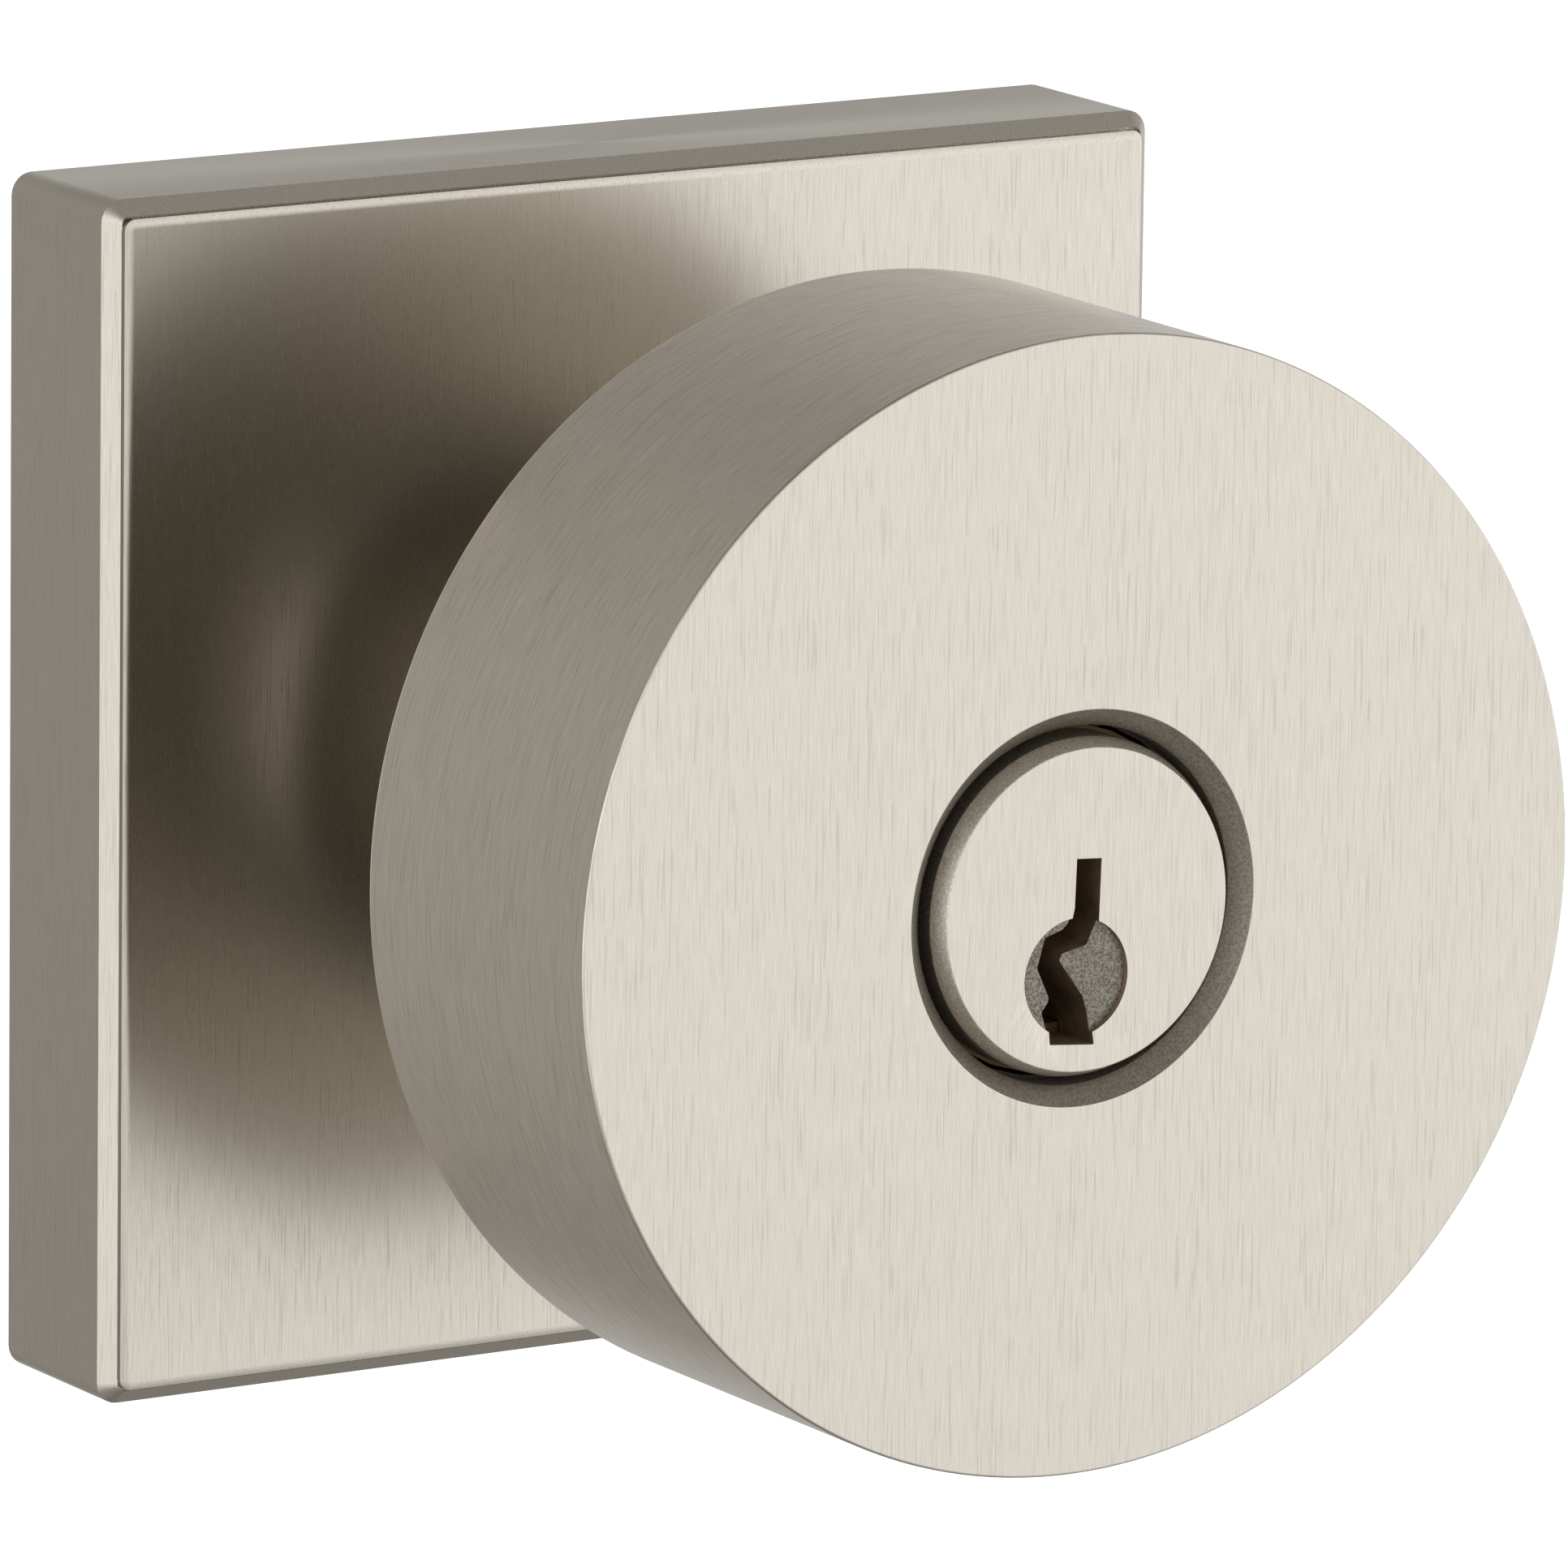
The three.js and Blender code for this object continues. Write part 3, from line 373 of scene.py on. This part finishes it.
vertical = brushed_nickel(
    "satin_nickel_upright", (20000, 20000, 450), (13000, 13000, 260),
    (0.55, 0.52, 0.465), (0.76, 0.725, 0.65), anisotropy=0.6)
dress(rose, vertical)
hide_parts("rose")
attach(rose, "chassis")


# ---- Neck bushing ----------------------------------------------------------------------------
# A moulded ring of natural nylon that the knob's neck turns in. It is pressed into the rose from
# behind, up to its thin flange.
def turned(name, section, steps=192):
    """Spins a closed section about the Y axis. A corner is (radius, y) or (radius, y, rounding)."""
    clear()
    bpy.ops.mesh.primitive_circle_add(vertices=len(section), radius=MM)
    piece = new_piece(name)
    for corner, (radius, y, *_) in zip(piece.data.vertices, section):
        corner.co = (radius * MM, y * MM, 0)
    edit(piece)
    for rounding in sorted({corner[2] for corner in section if len(corner) > 2}):
        spots = [Vector((c[0], c[1], 0)) for c in section if len(c) > 2 and c[2] == rounding]
        pick(piece, "verts", lambda vert, middle: min((middle - s).length for s in spots) < 1e-3)
        bpy.ops.mesh.bevel(offset=rounding * MM, segments=4, affect="VERTICES")
    pick(piece, "edges", lambda edge, middle: abs(middle.x) < 1e-4)
    bpy.ops.mesh.delete(type="EDGE_FACE")
    bpy.ops.mesh.select_mode(type="VERT")
    bpy.ops.mesh.select_all(action="SELECT")
    bpy.ops.mesh.spin(steps=steps, angle=2 * pi, center=(0, 0, 0), axis=(0, 1, 0))
    close(piece)
    return piece


RING_BORE, RING_OUTER, FLANGE_OUTER, FLANGE_FRONT, FLANGE_REAR = 13.15, 14.75, 16.05, -8.6, -8.1
bushing = turned("neck_bushing_ring", [
    (RING_BORE, -ROSE_DEPTH, 0.15), (RING_OUTER, -ROSE_DEPTH, 0.1), (RING_OUTER, FLANGE_FRONT),
    (FLANGE_OUTER, FLANGE_FRONT, 0.08), (FLANGE_OUTER, FLANGE_REAR, 0.08),
    (RING_BORE, FLANGE_REAR, 0.15),
], 128)
smooth(bushing)
nylon, flow, shader = new_material("natural_nylon", IOR=1.53, Subsurface_Weight=0.1)
cloud = noise(flow, scaled(flow, (400, 400, 400)), 3.0)
pores = noise(flow, scaled(flow, (9000, 9000, 9000)), 1.0)
feed(flow, shader, Base_Color=tint(flow, cloud, (0.66, 0.62, 0.52), (0.78, 0.75, 0.67)),
     Roughness=0.38 + 0.12 * pores, Normal=bump(flow, pores, 0.2, 0.01))
dress(bushing, nylon)
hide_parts("neck_bushing")
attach(bushing, "chassis")


# ---- Mounting plate --------------------------------------------------------------------------
# A steel plate blanked and pierced in a press, then zinc plated. It sits in the rose's back and
# carries the spring cassette, the two posts and the spindle's clip.
PLATE_HALF, PLATE_CORNER, PLATE_FRONT, PLATE_REAR = 29.7, 1.2, -3.3, -1.5
SPINDLE_HOLE, POST_HOLE, POST_AT, CASSETTE_SCREW_AT = 8.4, 2.35, 19, 17.6
plate = block((-PLATE_HALF, PLATE_FRONT, -PLATE_HALF), (PLATE_HALF, PLATE_REAR, PLATE_HALF))
plate.name = plate.data.name = "pressed_plate"
edit(plate)
pick(plate, "edges", lambda edge, middle: min(abs(middle.x), abs(middle.z)) > PLATE_HALF - 0.7)
bpy.ops.mesh.bevel(offset=PLATE_CORNER * MM, segments=6, affect="EDGES")
close(plate)
holes = [(SPINDLE_HOLE, 0, 0), (POST_HOLE, -POST_AT, 0), (POST_HOLE, POST_AT, 0),
         (BOSS_BORE, 0, -CASSETTE_SCREW_AT), (BOSS_BORE, 0, CASSETTE_SCREW_AT)]
for radius, x, z in holes + [(BOSS_BORE, x, z) for x, z in corners]:
    combine(plate, bar(radius, -4, -1, x, z, sides=48 if radius < 5 else 96), "DIFFERENCE")
modify(plate, "BEVEL", width=0.14 * MM, segments=3, limit_method="ANGLE", angle_limit=radians(60))
smooth(plate)


def plated_steel(name, grain):
    """Clear zinc over steel: a bluish white with faint clouds, and the grain of what lies under."""
    material, flow, shader = new_material(name, Metallic=1.0)
    cloud = noise(flow, scaled(flow, (110, 110, 110)), 4.0)
    marks = noise(flow, scaled(flow, grain), 3.0, 0.7)
    colour = tint(flow, cloud.step(0.3, 0.7), (0.56, 0.60, 0.64), (0.74, 0.74, 0.72))
    rough = 0.24 + 0.14 * marks + 0.1 * cloud
    feed(flow, shader, Base_Color=colour, Roughness=rough, Normal=bump(flow, marks, 0.2, 0.008))
    return material


rolled_zinc = plated_steel("zinc_on_rolled_steel", (3500, 2500, 300))
dress(plate, rolled_zinc)
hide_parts("mounting_plate")
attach(plate, "chassis")


# ---- Plate screws ----------------------------------------------------------------------------
# Four zinc-plated pan-head screws with cross recesses. They go through the plate from behind and
# cut their thread in the rose's bosses.
def shift(piece, x, y, z):
    """Moves a piece's mesh and leaves its origin where it is."""
    take(piece)
    bpy.ops.transform.translate(value=(x * MM, y * MM, z * MM))
    place(piece)


def moved(piece, name, x, z):
    """A copy of a piece, with its own mesh, moved to its place."""
    take(piece)
    bpy.ops.object.duplicate()
    made = new_piece(name)
    shift(made, x, 0, z)
    return made


turned_zinc = plated_steel("zinc_on_turned_steel", (700, 6000, 700))
SCREW_THREAD, THREAD_DEPTH, THREAD_STEP = 1.1, 0.2, 0.3
RECESS_HALF, RECESS_ARM, RECESS_FLOOR = 1.3, 0.28, -0.95
thread = [(SCREW_THREAD - THREAD_DEPTH * (i % 2), PLATE_REAR - THREAD_STEP * i)
          for i in range(1, 21)]
screw = turned("pan_head_screw", [
    (0, -0.2), (1.2, -0.24), (1.9, -0.5, 0.15), (2.2, -0.95, 0.15), (2.2, -1.3, 0.08),
    (SCREW_THREAD, -1.3), *thread, (0.5, -8.2), (0, -8.2),
], 48)
for x, z in ((RECESS_HALF, RECESS_ARM), (RECESS_ARM, RECESS_HALF)):
    slot = block((-x, RECESS_FLOOR, -z), (x, 0.2, z))
    edit(slot)
    pick(slot, "faces", lambda face, middle: middle.y < RECESS_FLOOR + 0.05)
    bpy.ops.transform.resize(value=(0.6, 1, 0.6))
    close(slot)
    combine(screw, slot, "DIFFERENCE")
smooth(screw)
dress(screw, turned_zinc)
for i, (x, z) in enumerate([(1, 1), (-1, 1), (-1, -1), (1, -1)], 1):
    cover_screw = moved(screw, f"rose_screw_{i}", x * COVER_SCREW_AT, z * COVER_SCREW_AT)
    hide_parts(f"plate_screw_{i}")
    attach(cover_screw, "chassis")
bpy.data.objects.remove(screw)


# ---- Posts -----------------------------------------------------------------------------------
# Two steel posts, turned and drilled, riveted into the plate. The inside trim's long screws go
# into their threads and clamp the lock through the door.
POST_RADIUS, RIVET_RADIUS, RIVET_HEAD, POST_END, POST_THREAD = 4.0, 2.2, 3.3, 15.0, 2.3
bore = [(POST_THREAD - 0.25 * (i % 2), 14.4 - 0.35 * i) for i in range(28)]
post = turned("long_post", [
    (0, -4.6), (2.6, -4.6, 0.3), (RIVET_HEAD, -4.1, 0.2), (RIVET_HEAD, -3.5),
    (RIVET_RADIUS, -3.5), (RIVET_RADIUS, -1.3), (POST_RADIUS, -1.3, 0.1),
    (POST_RADIUS, 14.4, 0.15), (3.4, POST_END, 0.1), (2.6, POST_END), *bore, (2.0, 4.0), (0, 3.0),
], 64)
smooth(post)
dress(post, turned_zinc)
for side, x in (("left", -POST_AT), ("right", POST_AT)):
    door_post = moved(post, f"threaded_post_{side}", x, 0)
    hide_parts(f"post_{side}")
    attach(door_post, "chassis")
bpy.data.objects.remove(post)


# ---- Spring cassette and return spring -------------------------------------------------------
# A die-cast zinc cup screwed to the plate's front. It holds the wound spring that brings the
# knob back to upright, and the two stops for the hub's lug.
def finish_nodes(material, *names):
    """Gives the CAD's own pieces a finish."""
    for name in names:
        dress(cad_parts[name], material)


cast_zinc, flow, shader = new_material("cast_zinc", Metallic=1.0)
skin = noise(flow, scaled(flow, (260, 260, 260)), 5.0, 0.7)
pits = noise(flow, scaled(flow, (5000, 5000, 5000)), 2.0)
zinc_colour = tint(flow, skin.step(0.3, 0.7), (0.30, 0.30, 0.31), (0.50, 0.50, 0.50))
feed(flow, shader, Base_Color=zinc_colour,
     Roughness=0.42 + 0.2 * pits, Normal=bump(flow, pits, 0.35, 0.02))
spring_steel, flow, shader = new_material("spring_wire", Metallic=1.0)
drawn = noise(flow, scaled(flow, (2500, 2500, 2500)), 3.0)
feed(flow, shader, Base_Color=tint(flow, drawn, (0.24, 0.25, 0.27), (0.45, 0.45, 0.46)),
     Roughness=0.26 + 0.16 * drawn)
finish_nodes(cast_zinc, "spring_cassette")
finish_nodes(turned_zinc, "cassette_screw_1", "cassette_screw_2")
finish_nodes(spring_steel, "return_spring")


# ---- Knob shell ------------------------------------------------------------------------------
# A cup drawn and turned from brass, 60 mm across, plated satin nickel. Its face was belt ground
# straight up and down and its rim was brushed round and round. The hole shows the key plug.
def blasted_nickel(name, dark, light, rough, grain=7000, strength=0.5, depth=0.01):
    """Sand-blasted nickel. Grain is in waves to a metre, the depth of the bumps in millimetres."""
    material, flow, shader = new_material(name, Metallic=1.0)
    sand = noise(flow, scaled(flow, (grain, grain, grain)), 2.0, 0.7)
    feed(flow, shader, Base_Color=tint(flow, sand.step(0.3, 0.7), dark, light),
         Roughness=rough + 0.1 * sand, Normal=bump(flow, sand, strength, depth))
    return material


KNOB_RADIUS, KNOB_INSIDE, KNOB_FACE, FACE_BACK, KNOB_REAR = 30.0, 27.6, -55.5, -52.9, -33.75
SINK_MOUTH, SINK_FLOOR, SINK_DEEP = 10.43, 9.45, -54.52
shell = turned("knob_cup", [
    (SINK_MOUTH, KNOB_FACE, 0.05), (KNOB_RADIUS, KNOB_FACE, 0.15), (KNOB_RADIUS, KNOB_REAR, 0.4),
    (KNOB_INSIDE, KNOB_REAR, 0.2), (KNOB_INSIDE, FACE_BACK), (SINK_FLOOR, FACE_BACK),
    (SINK_FLOOR, SINK_DEEP, 0.05),
])
smooth(shell)
ROUND_GRAIN, ROUND_DRIFT = (450, 16000, 450), (260, 13000, 260)
# The rim is the same nickel as the face made much lighter: painted light on the knob's dimly lit
# side. Its streaks run round with the brushing.
round_streaks_painted_light = brushed_nickel(
    "satin_nickel_round_painted_light", ROUND_GRAIN, ROUND_DRIFT,
    (0.58, 0.54, 0.47), (0.98, 0.93, 0.83), anisotropy=0.0)
# The sink round the plug has a blasted finish in a much darker colour: painted shade in the sink.
sink_nickel_painted_shade = blasted_nickel(
    "satin_nickel_in_the_sink_painted_shade", (0.24, 0.215, 0.18), (0.40, 0.37, 0.32), rough=0.54)
dress(shell, round_streaks_painted_light, vertical, sink_nickel_painted_shade)
for face in shell.data.polygons:
    middle = face.center / MM
    out = Vector((middle.x, 0, middle.z)).length
    if face.normal.y < -0.9 and out > SINK_MOUTH - 0.03:
        face.material_index = 1
    elif out < SINK_MOUTH + 0.07:
        face.material_index = 2
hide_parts("knob_shell")
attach(shell, "knob")


# ---- Knob back and neck ----------------------------------------------------------------------
# The disc that closes the knob and the coved neck behind it, turned in one piece of brass and
# plated. The spindle turns in its bore, and the catch shows through a hole under the neck.
DISC_RADIUS, DISC_FRONT, DISC_REAR, COVE_RADIUS = 27.4, -36.75, -34.25, 17.45
NECK_RADIUS, NECK_END, NECK_BORE, COVE_FRONT, COVE_LENGTH = 13.0, -8.6, 8.15, -29.7, 8.0
CYLINDER_BORE, CYLINDER_SEAT, CORE_SCREW_AT, CATCH_HOLE, CATCH_AT = 9.35, -31.3, 20.8, 1.75, -18.1
cove = [(COVE_RADIUS - (COVE_RADIUS - NECK_RADIUS) * sin(i * pi / 24),
         COVE_FRONT + COVE_LENGTH * (1 - cos(i * pi / 24))) for i in range(13)]
knob_back = turned("knob_back_and_neck", [
    (CYLINDER_BORE, DISC_FRONT), (DISC_RADIUS, DISC_FRONT), (DISC_RADIUS, DISC_REAR, 0.3),
    (COVE_RADIUS, DISC_REAR), *cove, (NECK_RADIUS, NECK_END, 0.2), (NECK_BORE, NECK_END, 0.1),
    (NECK_BORE, -28.8), (NECK_BORE + 0.1, -28.9), (NECK_BORE + 0.1, CYLINDER_SEAT),
    (CYLINDER_BORE, CYLINDER_SEAT),
])
pin_stack_slot = block((-3.3, -38, 0), (3.3, CYLINDER_SEAT, 15.5))
combine(knob_back, pin_stack_slot, "DIFFERENCE")
combine(knob_back, upright(CATCH_HOLE, -13.5, 0, y=CATCH_AT), "DIFFERENCE")
for angle in (radians(150), radians(270), radians(30)):
    x, z = CORE_SCREW_AT * cos(angle), CORE_SCREW_AT * sin(angle)
    combine(knob_back, bar(1.35, -37, -34.75, x, z, sides=32), "DIFFERENCE")
smooth(knob_back)
# The back and the neck are the same satin nickel as the knob in darker colours: painted shade for
# the hollow behind the knob, and the neck darker still as deeper painted shade.
turned_back_painted_shade = brushed_nickel(
    "satin_nickel_turned_painted_shade", ROUND_GRAIN, ROUND_DRIFT,
    (0.44, 0.40, 0.33), (0.62, 0.57, 0.49), anisotropy=0.0)
turned_neck_painted_shade = brushed_nickel(
    "satin_nickel_turned_neck_painted_shade", ROUND_GRAIN, ROUND_DRIFT,
    (0.24, 0.21, 0.165), (0.36, 0.325, 0.265), anisotropy=0.0)
dress(knob_back, turned_back_painted_shade, turned_neck_painted_shade)
for face in knob_back.data.polygons:
    if face.center.y > (DISC_REAR + 0.05) * MM:
        face.material_index = 1
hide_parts("knob_back")
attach(knob_back, "knob")


# ---- Knob core -------------------------------------------------------------------------------
# A die-cast zinc block that fills the knob and keeps the cylinder from turning in it. Three
# screws pull it down to the knob's back.
# The core is coloured near black: painted shade, so that it stays dark where it shows in the groove
# round the plug.
core_zinc_painted_shade, flow, shader = new_material("cast_zinc_painted_shade", Metallic=1.0)
skin = noise(flow, scaled(flow, (400, 400, 400)), 5.0, 0.7)
feed(flow, shader, Base_Color=tint(flow, skin, (0.05, 0.04, 0.03), (0.16, 0.14, 0.12)),
     Roughness=0.5 + 0.2 * skin)
finish_nodes(core_zinc_painted_shade, "knob_core")
finish_nodes(cast_zinc, "drive_hub")
finish_nodes(turned_zinc, "core_screw_1", "core_screw_2", "core_screw_3")


# ---- Spindle ---------------------------------------------------------------------------------
# A tube rolled from zinc-plated steel, slotted for the latch. The catch in its wall locks the
# knob on, a bowed leaf spring holds the catch out, and a clip behind the plate holds it all in.
TUBE_BORE, TUBE_RADIUS, TUBE_FRONT, TUBE_END, CLIP_GROOVE = 6.8, 8.0, -28.8, 22.0, 7.5
spindle = turned("rolled_spindle", [
    (TUBE_BORE, TUBE_FRONT, 0.1), (TUBE_RADIUS, TUBE_FRONT, 0.2), (TUBE_RADIUS, -1.4),
    (CLIP_GROOVE, -1.4), (CLIP_GROOVE, -0.4), (TUBE_RADIUS, -0.4),
    (TUBE_RADIUS, TUBE_END, 0.2), (TUBE_BORE, TUBE_END, 0.1),
], 96)
latch_slot, hub_slot = block((-5, 1.3, 0), (5, 22.5, 9)), block((-1.5, -4.8, 0), (1.5, -3.5, 9))
for cutter in (latch_slot, hub_slot, upright(CATCH_HOLE, -9, 0, y=CATCH_AT)):
    combine(spindle, cutter, "DIFFERENCE")
smooth(spindle)
dress(spindle, plated_steel("zinc_on_rolled_tube", (2500, 300, 2500)))
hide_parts("spindle")
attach(spindle, "knob")
finish_nodes(spring_steel, "spindle_clip")
finish_nodes(turned_zinc, "knob_catch")
LEAF_OUTER, LEAF_THICKNESS, LEAF_FRONT, LEAF_REAR, LEAF_LIFT = 6.1, 0.35, -19.9, -16.3, 0.5
leaf = turned("bowed_leaf", [
    (LEAF_OUTER - LEAF_THICKNESS, LEAF_FRONT), (LEAF_OUTER, LEAF_FRONT),
    (LEAF_OUTER, LEAF_REAR), (LEAF_OUTER - LEAF_THICKNESS, LEAF_REAR),
], 96)
opening = block((-8 * sin(pi / 6), -21, 0), (8 * sin(pi / 6), -15, 8 * cos(pi / 6)))
edit(opening)
pick(opening, "faces", lambda face, middle: middle.z < 0.1)
bpy.ops.transform.resize(value=(0.01, 1, 1))
close(opening)
combine(leaf, opening, "DIFFERENCE")
modify(leaf, "BEVEL", width=0.06 * MM, segments=2, limit_method="ANGLE", angle_limit=radians(60))
shift(leaf, 0, 0, LEAF_LIFT)
smooth(leaf)
dress(leaf, spring_steel)
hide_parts("catch_spring")
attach(leaf, "knob")
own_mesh(leaf)


# ---- Lock cylinder ---------------------------------------------------------------------------
# A brass body, bored for the plug, with five chambers drilled down into it. Each holds a spring,
# a driver pin and a key pin, and a brass strip staked on top closes them.
FIRST_PIN, PIN_PITCH = -49.75, 3.9
brass, flow, shader = new_material("machined_brass", Metallic=1.0)
tarnish_and_shade = noise(flow, scaled(flow, (220, 220, 220)), 4.0)
cuts = noise(flow, scaled(flow, (900, 7000, 900)), 2.0)
brass_colour = tint(flow, tarnish_and_shade.step(0.25, 0.75), (0.52, 0.36, 0.15), (0.72, 0.55, 0.27))
feed(flow, shader, Base_Color=brass_colour,
     Roughness=0.22 + 0.14 * cuts, Normal=bump(flow, cuts, 0.15, 0.006))
# The cylinder body is brass coloured very dark: painted shade, so that it stays dark where it shows
# in the groove round the plug.
dull_brass_painted_shade, flow, shader = new_material("dark_brass_painted_shade", Metallic=1.0)
tarnish_and_shade = noise(flow, scaled(flow, (300, 300, 300)), 4.0)
feed(flow, shader, Base_Color=tint(flow, tarnish_and_shade, (0.12, 0.085, 0.05), (0.30, 0.22, 0.12)),
     Roughness=0.5 + 0.2 * tarnish_and_shade)
finish_nodes(dull_brass_painted_shade, "cylinder_body")
finish_nodes(brass, "chamber_cover", "plug_cap")
SPRING_WIRE, SPRING_MEAN, SPRING_TURNS = 0.25, 0.95, 4
SPRING_LOW, SPRING_HIGH, DRIVER_TRAVEL = 10.05, 14.4, 1.8
for i in range(1, 6):
    finish_nodes(brass, f"key_pin_{i}", f"driver_pin_{i}")
    clear()
    bpy.ops.mesh.primitive_circle_add(
        vertices=12, radius=SPRING_WIRE * MM, rotation=(pi / 2, 0, 0),
        location=(SPRING_MEAN * MM, 0, (SPRING_LOW + SPRING_WIRE) * MM))
    coil = new_piece(f"coil_spring_{i}")
    place(coil)
    rise = (SPRING_HIGH - SPRING_LOW - 2 * SPRING_WIRE) / SPRING_TURNS
    modify(coil, "SCREW", axis="Z", screw_offset=rise * MM, iterations=SPRING_TURNS,
           steps=24, render_steps=24)
    edit(coil)
    bpy.ops.mesh.select_all(action="SELECT")
    bpy.ops.mesh.fill_holes(sides=0)
    close(coil)
    chamber = PIN_PITCH * (i - 1) + FIRST_PIN
    shift(coil, 0, chamber, 0)
    smooth(coil)
    dress(coil, spring_steel)
    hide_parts(f"pin_spring_{i}")
    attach(coil, "knob")
    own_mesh(coil)


# ---- Plug ------------------------------------------------------------------------------------
# The brass barrel that the key turns. Its coned head is plated to match and is belt ground with
# the knob's face; the keyway is broached through it and runs across a shallow dish.
PLUG_FACE, HEAD_BACK, PLUG_SHOULDER, PLUG_END = -55.84, -52.6, -31.5, -29.7
HEAD_FRONT_RADIUS, HEAD_RADIUS, PLUG_RADIUS, TAIL_RADIUS = 8.51, 8.93, 6.5, 5.2
DISH_RADIUS, DISH_FLOOR, DISH_X, DISH_Z = 3.15, -55.54, -0.6, -3.5
TOOL_START, KEYWAY_LENGTH, KEYWAY_EASE, PIN_HOLE, BLADE_SLOT = -57, 23, 0.09, 1.45, 0.95
plug = turned("key_plug", [
    (0, PLUG_FACE), (HEAD_FRONT_RADIUS, PLUG_FACE, 0.06), (HEAD_RADIUS, -54.84, 0.05),
    (HEAD_RADIUS, HEAD_BACK), (PLUG_RADIUS, HEAD_BACK), (PLUG_RADIUS, PLUG_SHOULDER),
    (TAIL_RADIUS, PLUG_SHOULDER), (TAIL_RADIUS, PLUG_END), (0, PLUG_END),
], 128)
KEYWAY = [
    (0.84, 2.65), (0.74, -0.8), (0.47, -1.25), (0.2, -1.9), (-1.32, -2.23), (-1.46, -2.6),
    (-0.76, -3.55), (0.0, -4.6), (0.29, -5.54), (0.55, -7.15), (-2.15, -6.9), (-2.2, -6.2),
    (-2.5, -5.2), (-2.1, -4.7), (-2.08, -4.4), (-2.3, -3.97), (-2.8, -2.85), (-2.35, -1.29),
    (-1.3, -0.97), (-0.93, -0.6), (-0.75, 0.15), (-0.66, 2.75),
]
clear()
bpy.ops.mesh.primitive_circle_add(vertices=len(KEYWAY), radius=MM, fill_type="NGON")
keyway = bpy.context.object
for corner, (x, z) in zip(keyway.data.vertices, KEYWAY):
    corner.co = (x * MM, TOOL_START * MM, z * MM)
edit(keyway)
pick(keyway, "verts", lambda vert, middle: middle.z < 2)
bpy.ops.mesh.bevel(offset=KEYWAY_EASE * MM, segments=3, affect="VERTICES")
bpy.ops.mesh.select_all(action="SELECT")
bpy.ops.mesh.extrude_region_move(TRANSFORM_OT_translate={"value": (0, KEYWAY_LENGTH * MM, 0)})
close(keyway)
combine(plug, bar(DISH_RADIUS, TOOL_START, DISH_FLOOR, DISH_X, DISH_Z), "DIFFERENCE")
combine(plug, keyway, "DIFFERENCE")
modify(plug, "BEVEL", width=0.04 * MM, segments=2, limit_method="ANGLE", angle_limit=radians(55))
for i in range(5):
    pin_hole = upright(PIN_HOLE, -0.6, 7, y=PIN_PITCH * i + FIRST_PIN, sides=32)
    combine(plug, pin_hole, "DIFFERENCE")
combine(plug, block((-BLADE_SLOT, -32.3, -3.7), (BLADE_SLOT, -29, 3.7)), "DIFFERENCE")
smooth(plug)
# The keyway's walls are brass in a dark brown: oiled brass, made darker still as painted shade
# inside the slot.
keyway_brass_painted_shade, flow, shader = new_material("keyway_brass_painted_shade", Metallic=1.0)
oil_and_shade = noise(flow, scaled(flow, (900, 900, 900)), 3.0)
feed(flow, shader, Base_Color=tint(flow, oil_and_shade, (0.30, 0.22, 0.15), (0.60, 0.48, 0.36)),
     Roughness=0.45 + 0.2 * oil_and_shade)
sandy_nickel = blasted_nickel(
    "satin_nickel_blasted", (0.60, 0.56, 0.49), (0.88, 0.84, 0.76), rough=0.36)
# The dish floor is the same blasted nickel as the head in a much darker colour: painted shade in
# the dish.
dish_nickel_painted_shade = blasted_nickel(
    "satin_nickel_in_the_dish_painted_shade", (0.11, 0.10, 0.08), (0.34, 0.315, 0.27),
    rough=0.4, grain=8000, strength=0.6, depth=0.012)
dress(plug, vertical, sandy_nickel, keyway_brass_painted_shade, dish_nickel_painted_shade)
for face in plug.data.polygons:
    middle = face.center / MM
    out = Vector((middle.x, 0, middle.z)).length
    if face.normal.y > -0.9 or middle.y > DISH_FLOOR - 0.06:
        face.material_index = 1
    if DISH_FLOOR - 0.06 < middle.y < DISH_FLOOR + 0.04 and face.normal.y < -0.9:
        face.material_index = 3
    if face.normal.y > -0.2 and out < HEAD_FRONT_RADIUS - 0.21 and middle.y < -32:
        face.material_index = 2
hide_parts("plug")
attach(plug, "plug_group")


# ---- Torque blade ----------------------------------------------------------------------------
# A flat steel blade, sheared and zinc plated, that carries the key's turn to the inside. Its far
# end is grooved every quarter inch so that it can be snapped to suit the door.
BLADE_HALF, BLADE_WIDTH, BLADE_FRONT, BLADE_END = 0.75, 5.0, -32.1, 50.0
NOTCH_FLOOR, FIRST_NOTCH, NOTCH_STEP = 0.5, 18.0, 6.35
notches = []
for i in range(5):
    notch = FIRST_NOTCH + NOTCH_STEP * i
    notches += [(BLADE_HALF, notch - 0.3), (NOTCH_FLOOR, notch), (BLADE_HALF, notch + 0.3)]
outline = [(BLADE_HALF, BLADE_FRONT), *notches, (BLADE_HALF, 49.4), (0.45, BLADE_END)]
outline += [(-x, y) for x, y in reversed(outline)]
clear()
bpy.ops.mesh.primitive_circle_add(vertices=len(outline), radius=MM, fill_type="NGON")
blade = new_piece("snap_off_blade")
for corner, (x, y) in zip(blade.data.vertices, outline):
    corner.co = (x * MM, y * MM, -BLADE_WIDTH / 2 * MM)
edit(blade)
bpy.ops.mesh.select_all(action="SELECT")
bpy.ops.mesh.extrude_region_move(TRANSFORM_OT_translate={"value": (0, 0, BLADE_WIDTH * MM)})
close(blade)
foot = block((-BLADE_HALF, BLADE_FRONT, -3.5), (BLADE_HALF, -29.9, 3.5))
combine(blade, foot, "UNION")
modify(blade, "BEVEL", width=0.08 * MM, segments=2, limit_method="ANGLE", angle_limit=radians(60))
smooth(blade)
dress(blade, plated_steel("zinc_on_sheared_strip", (3000, 250, 3000)))
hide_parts("torque_blade")
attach(blade, "plug_group")
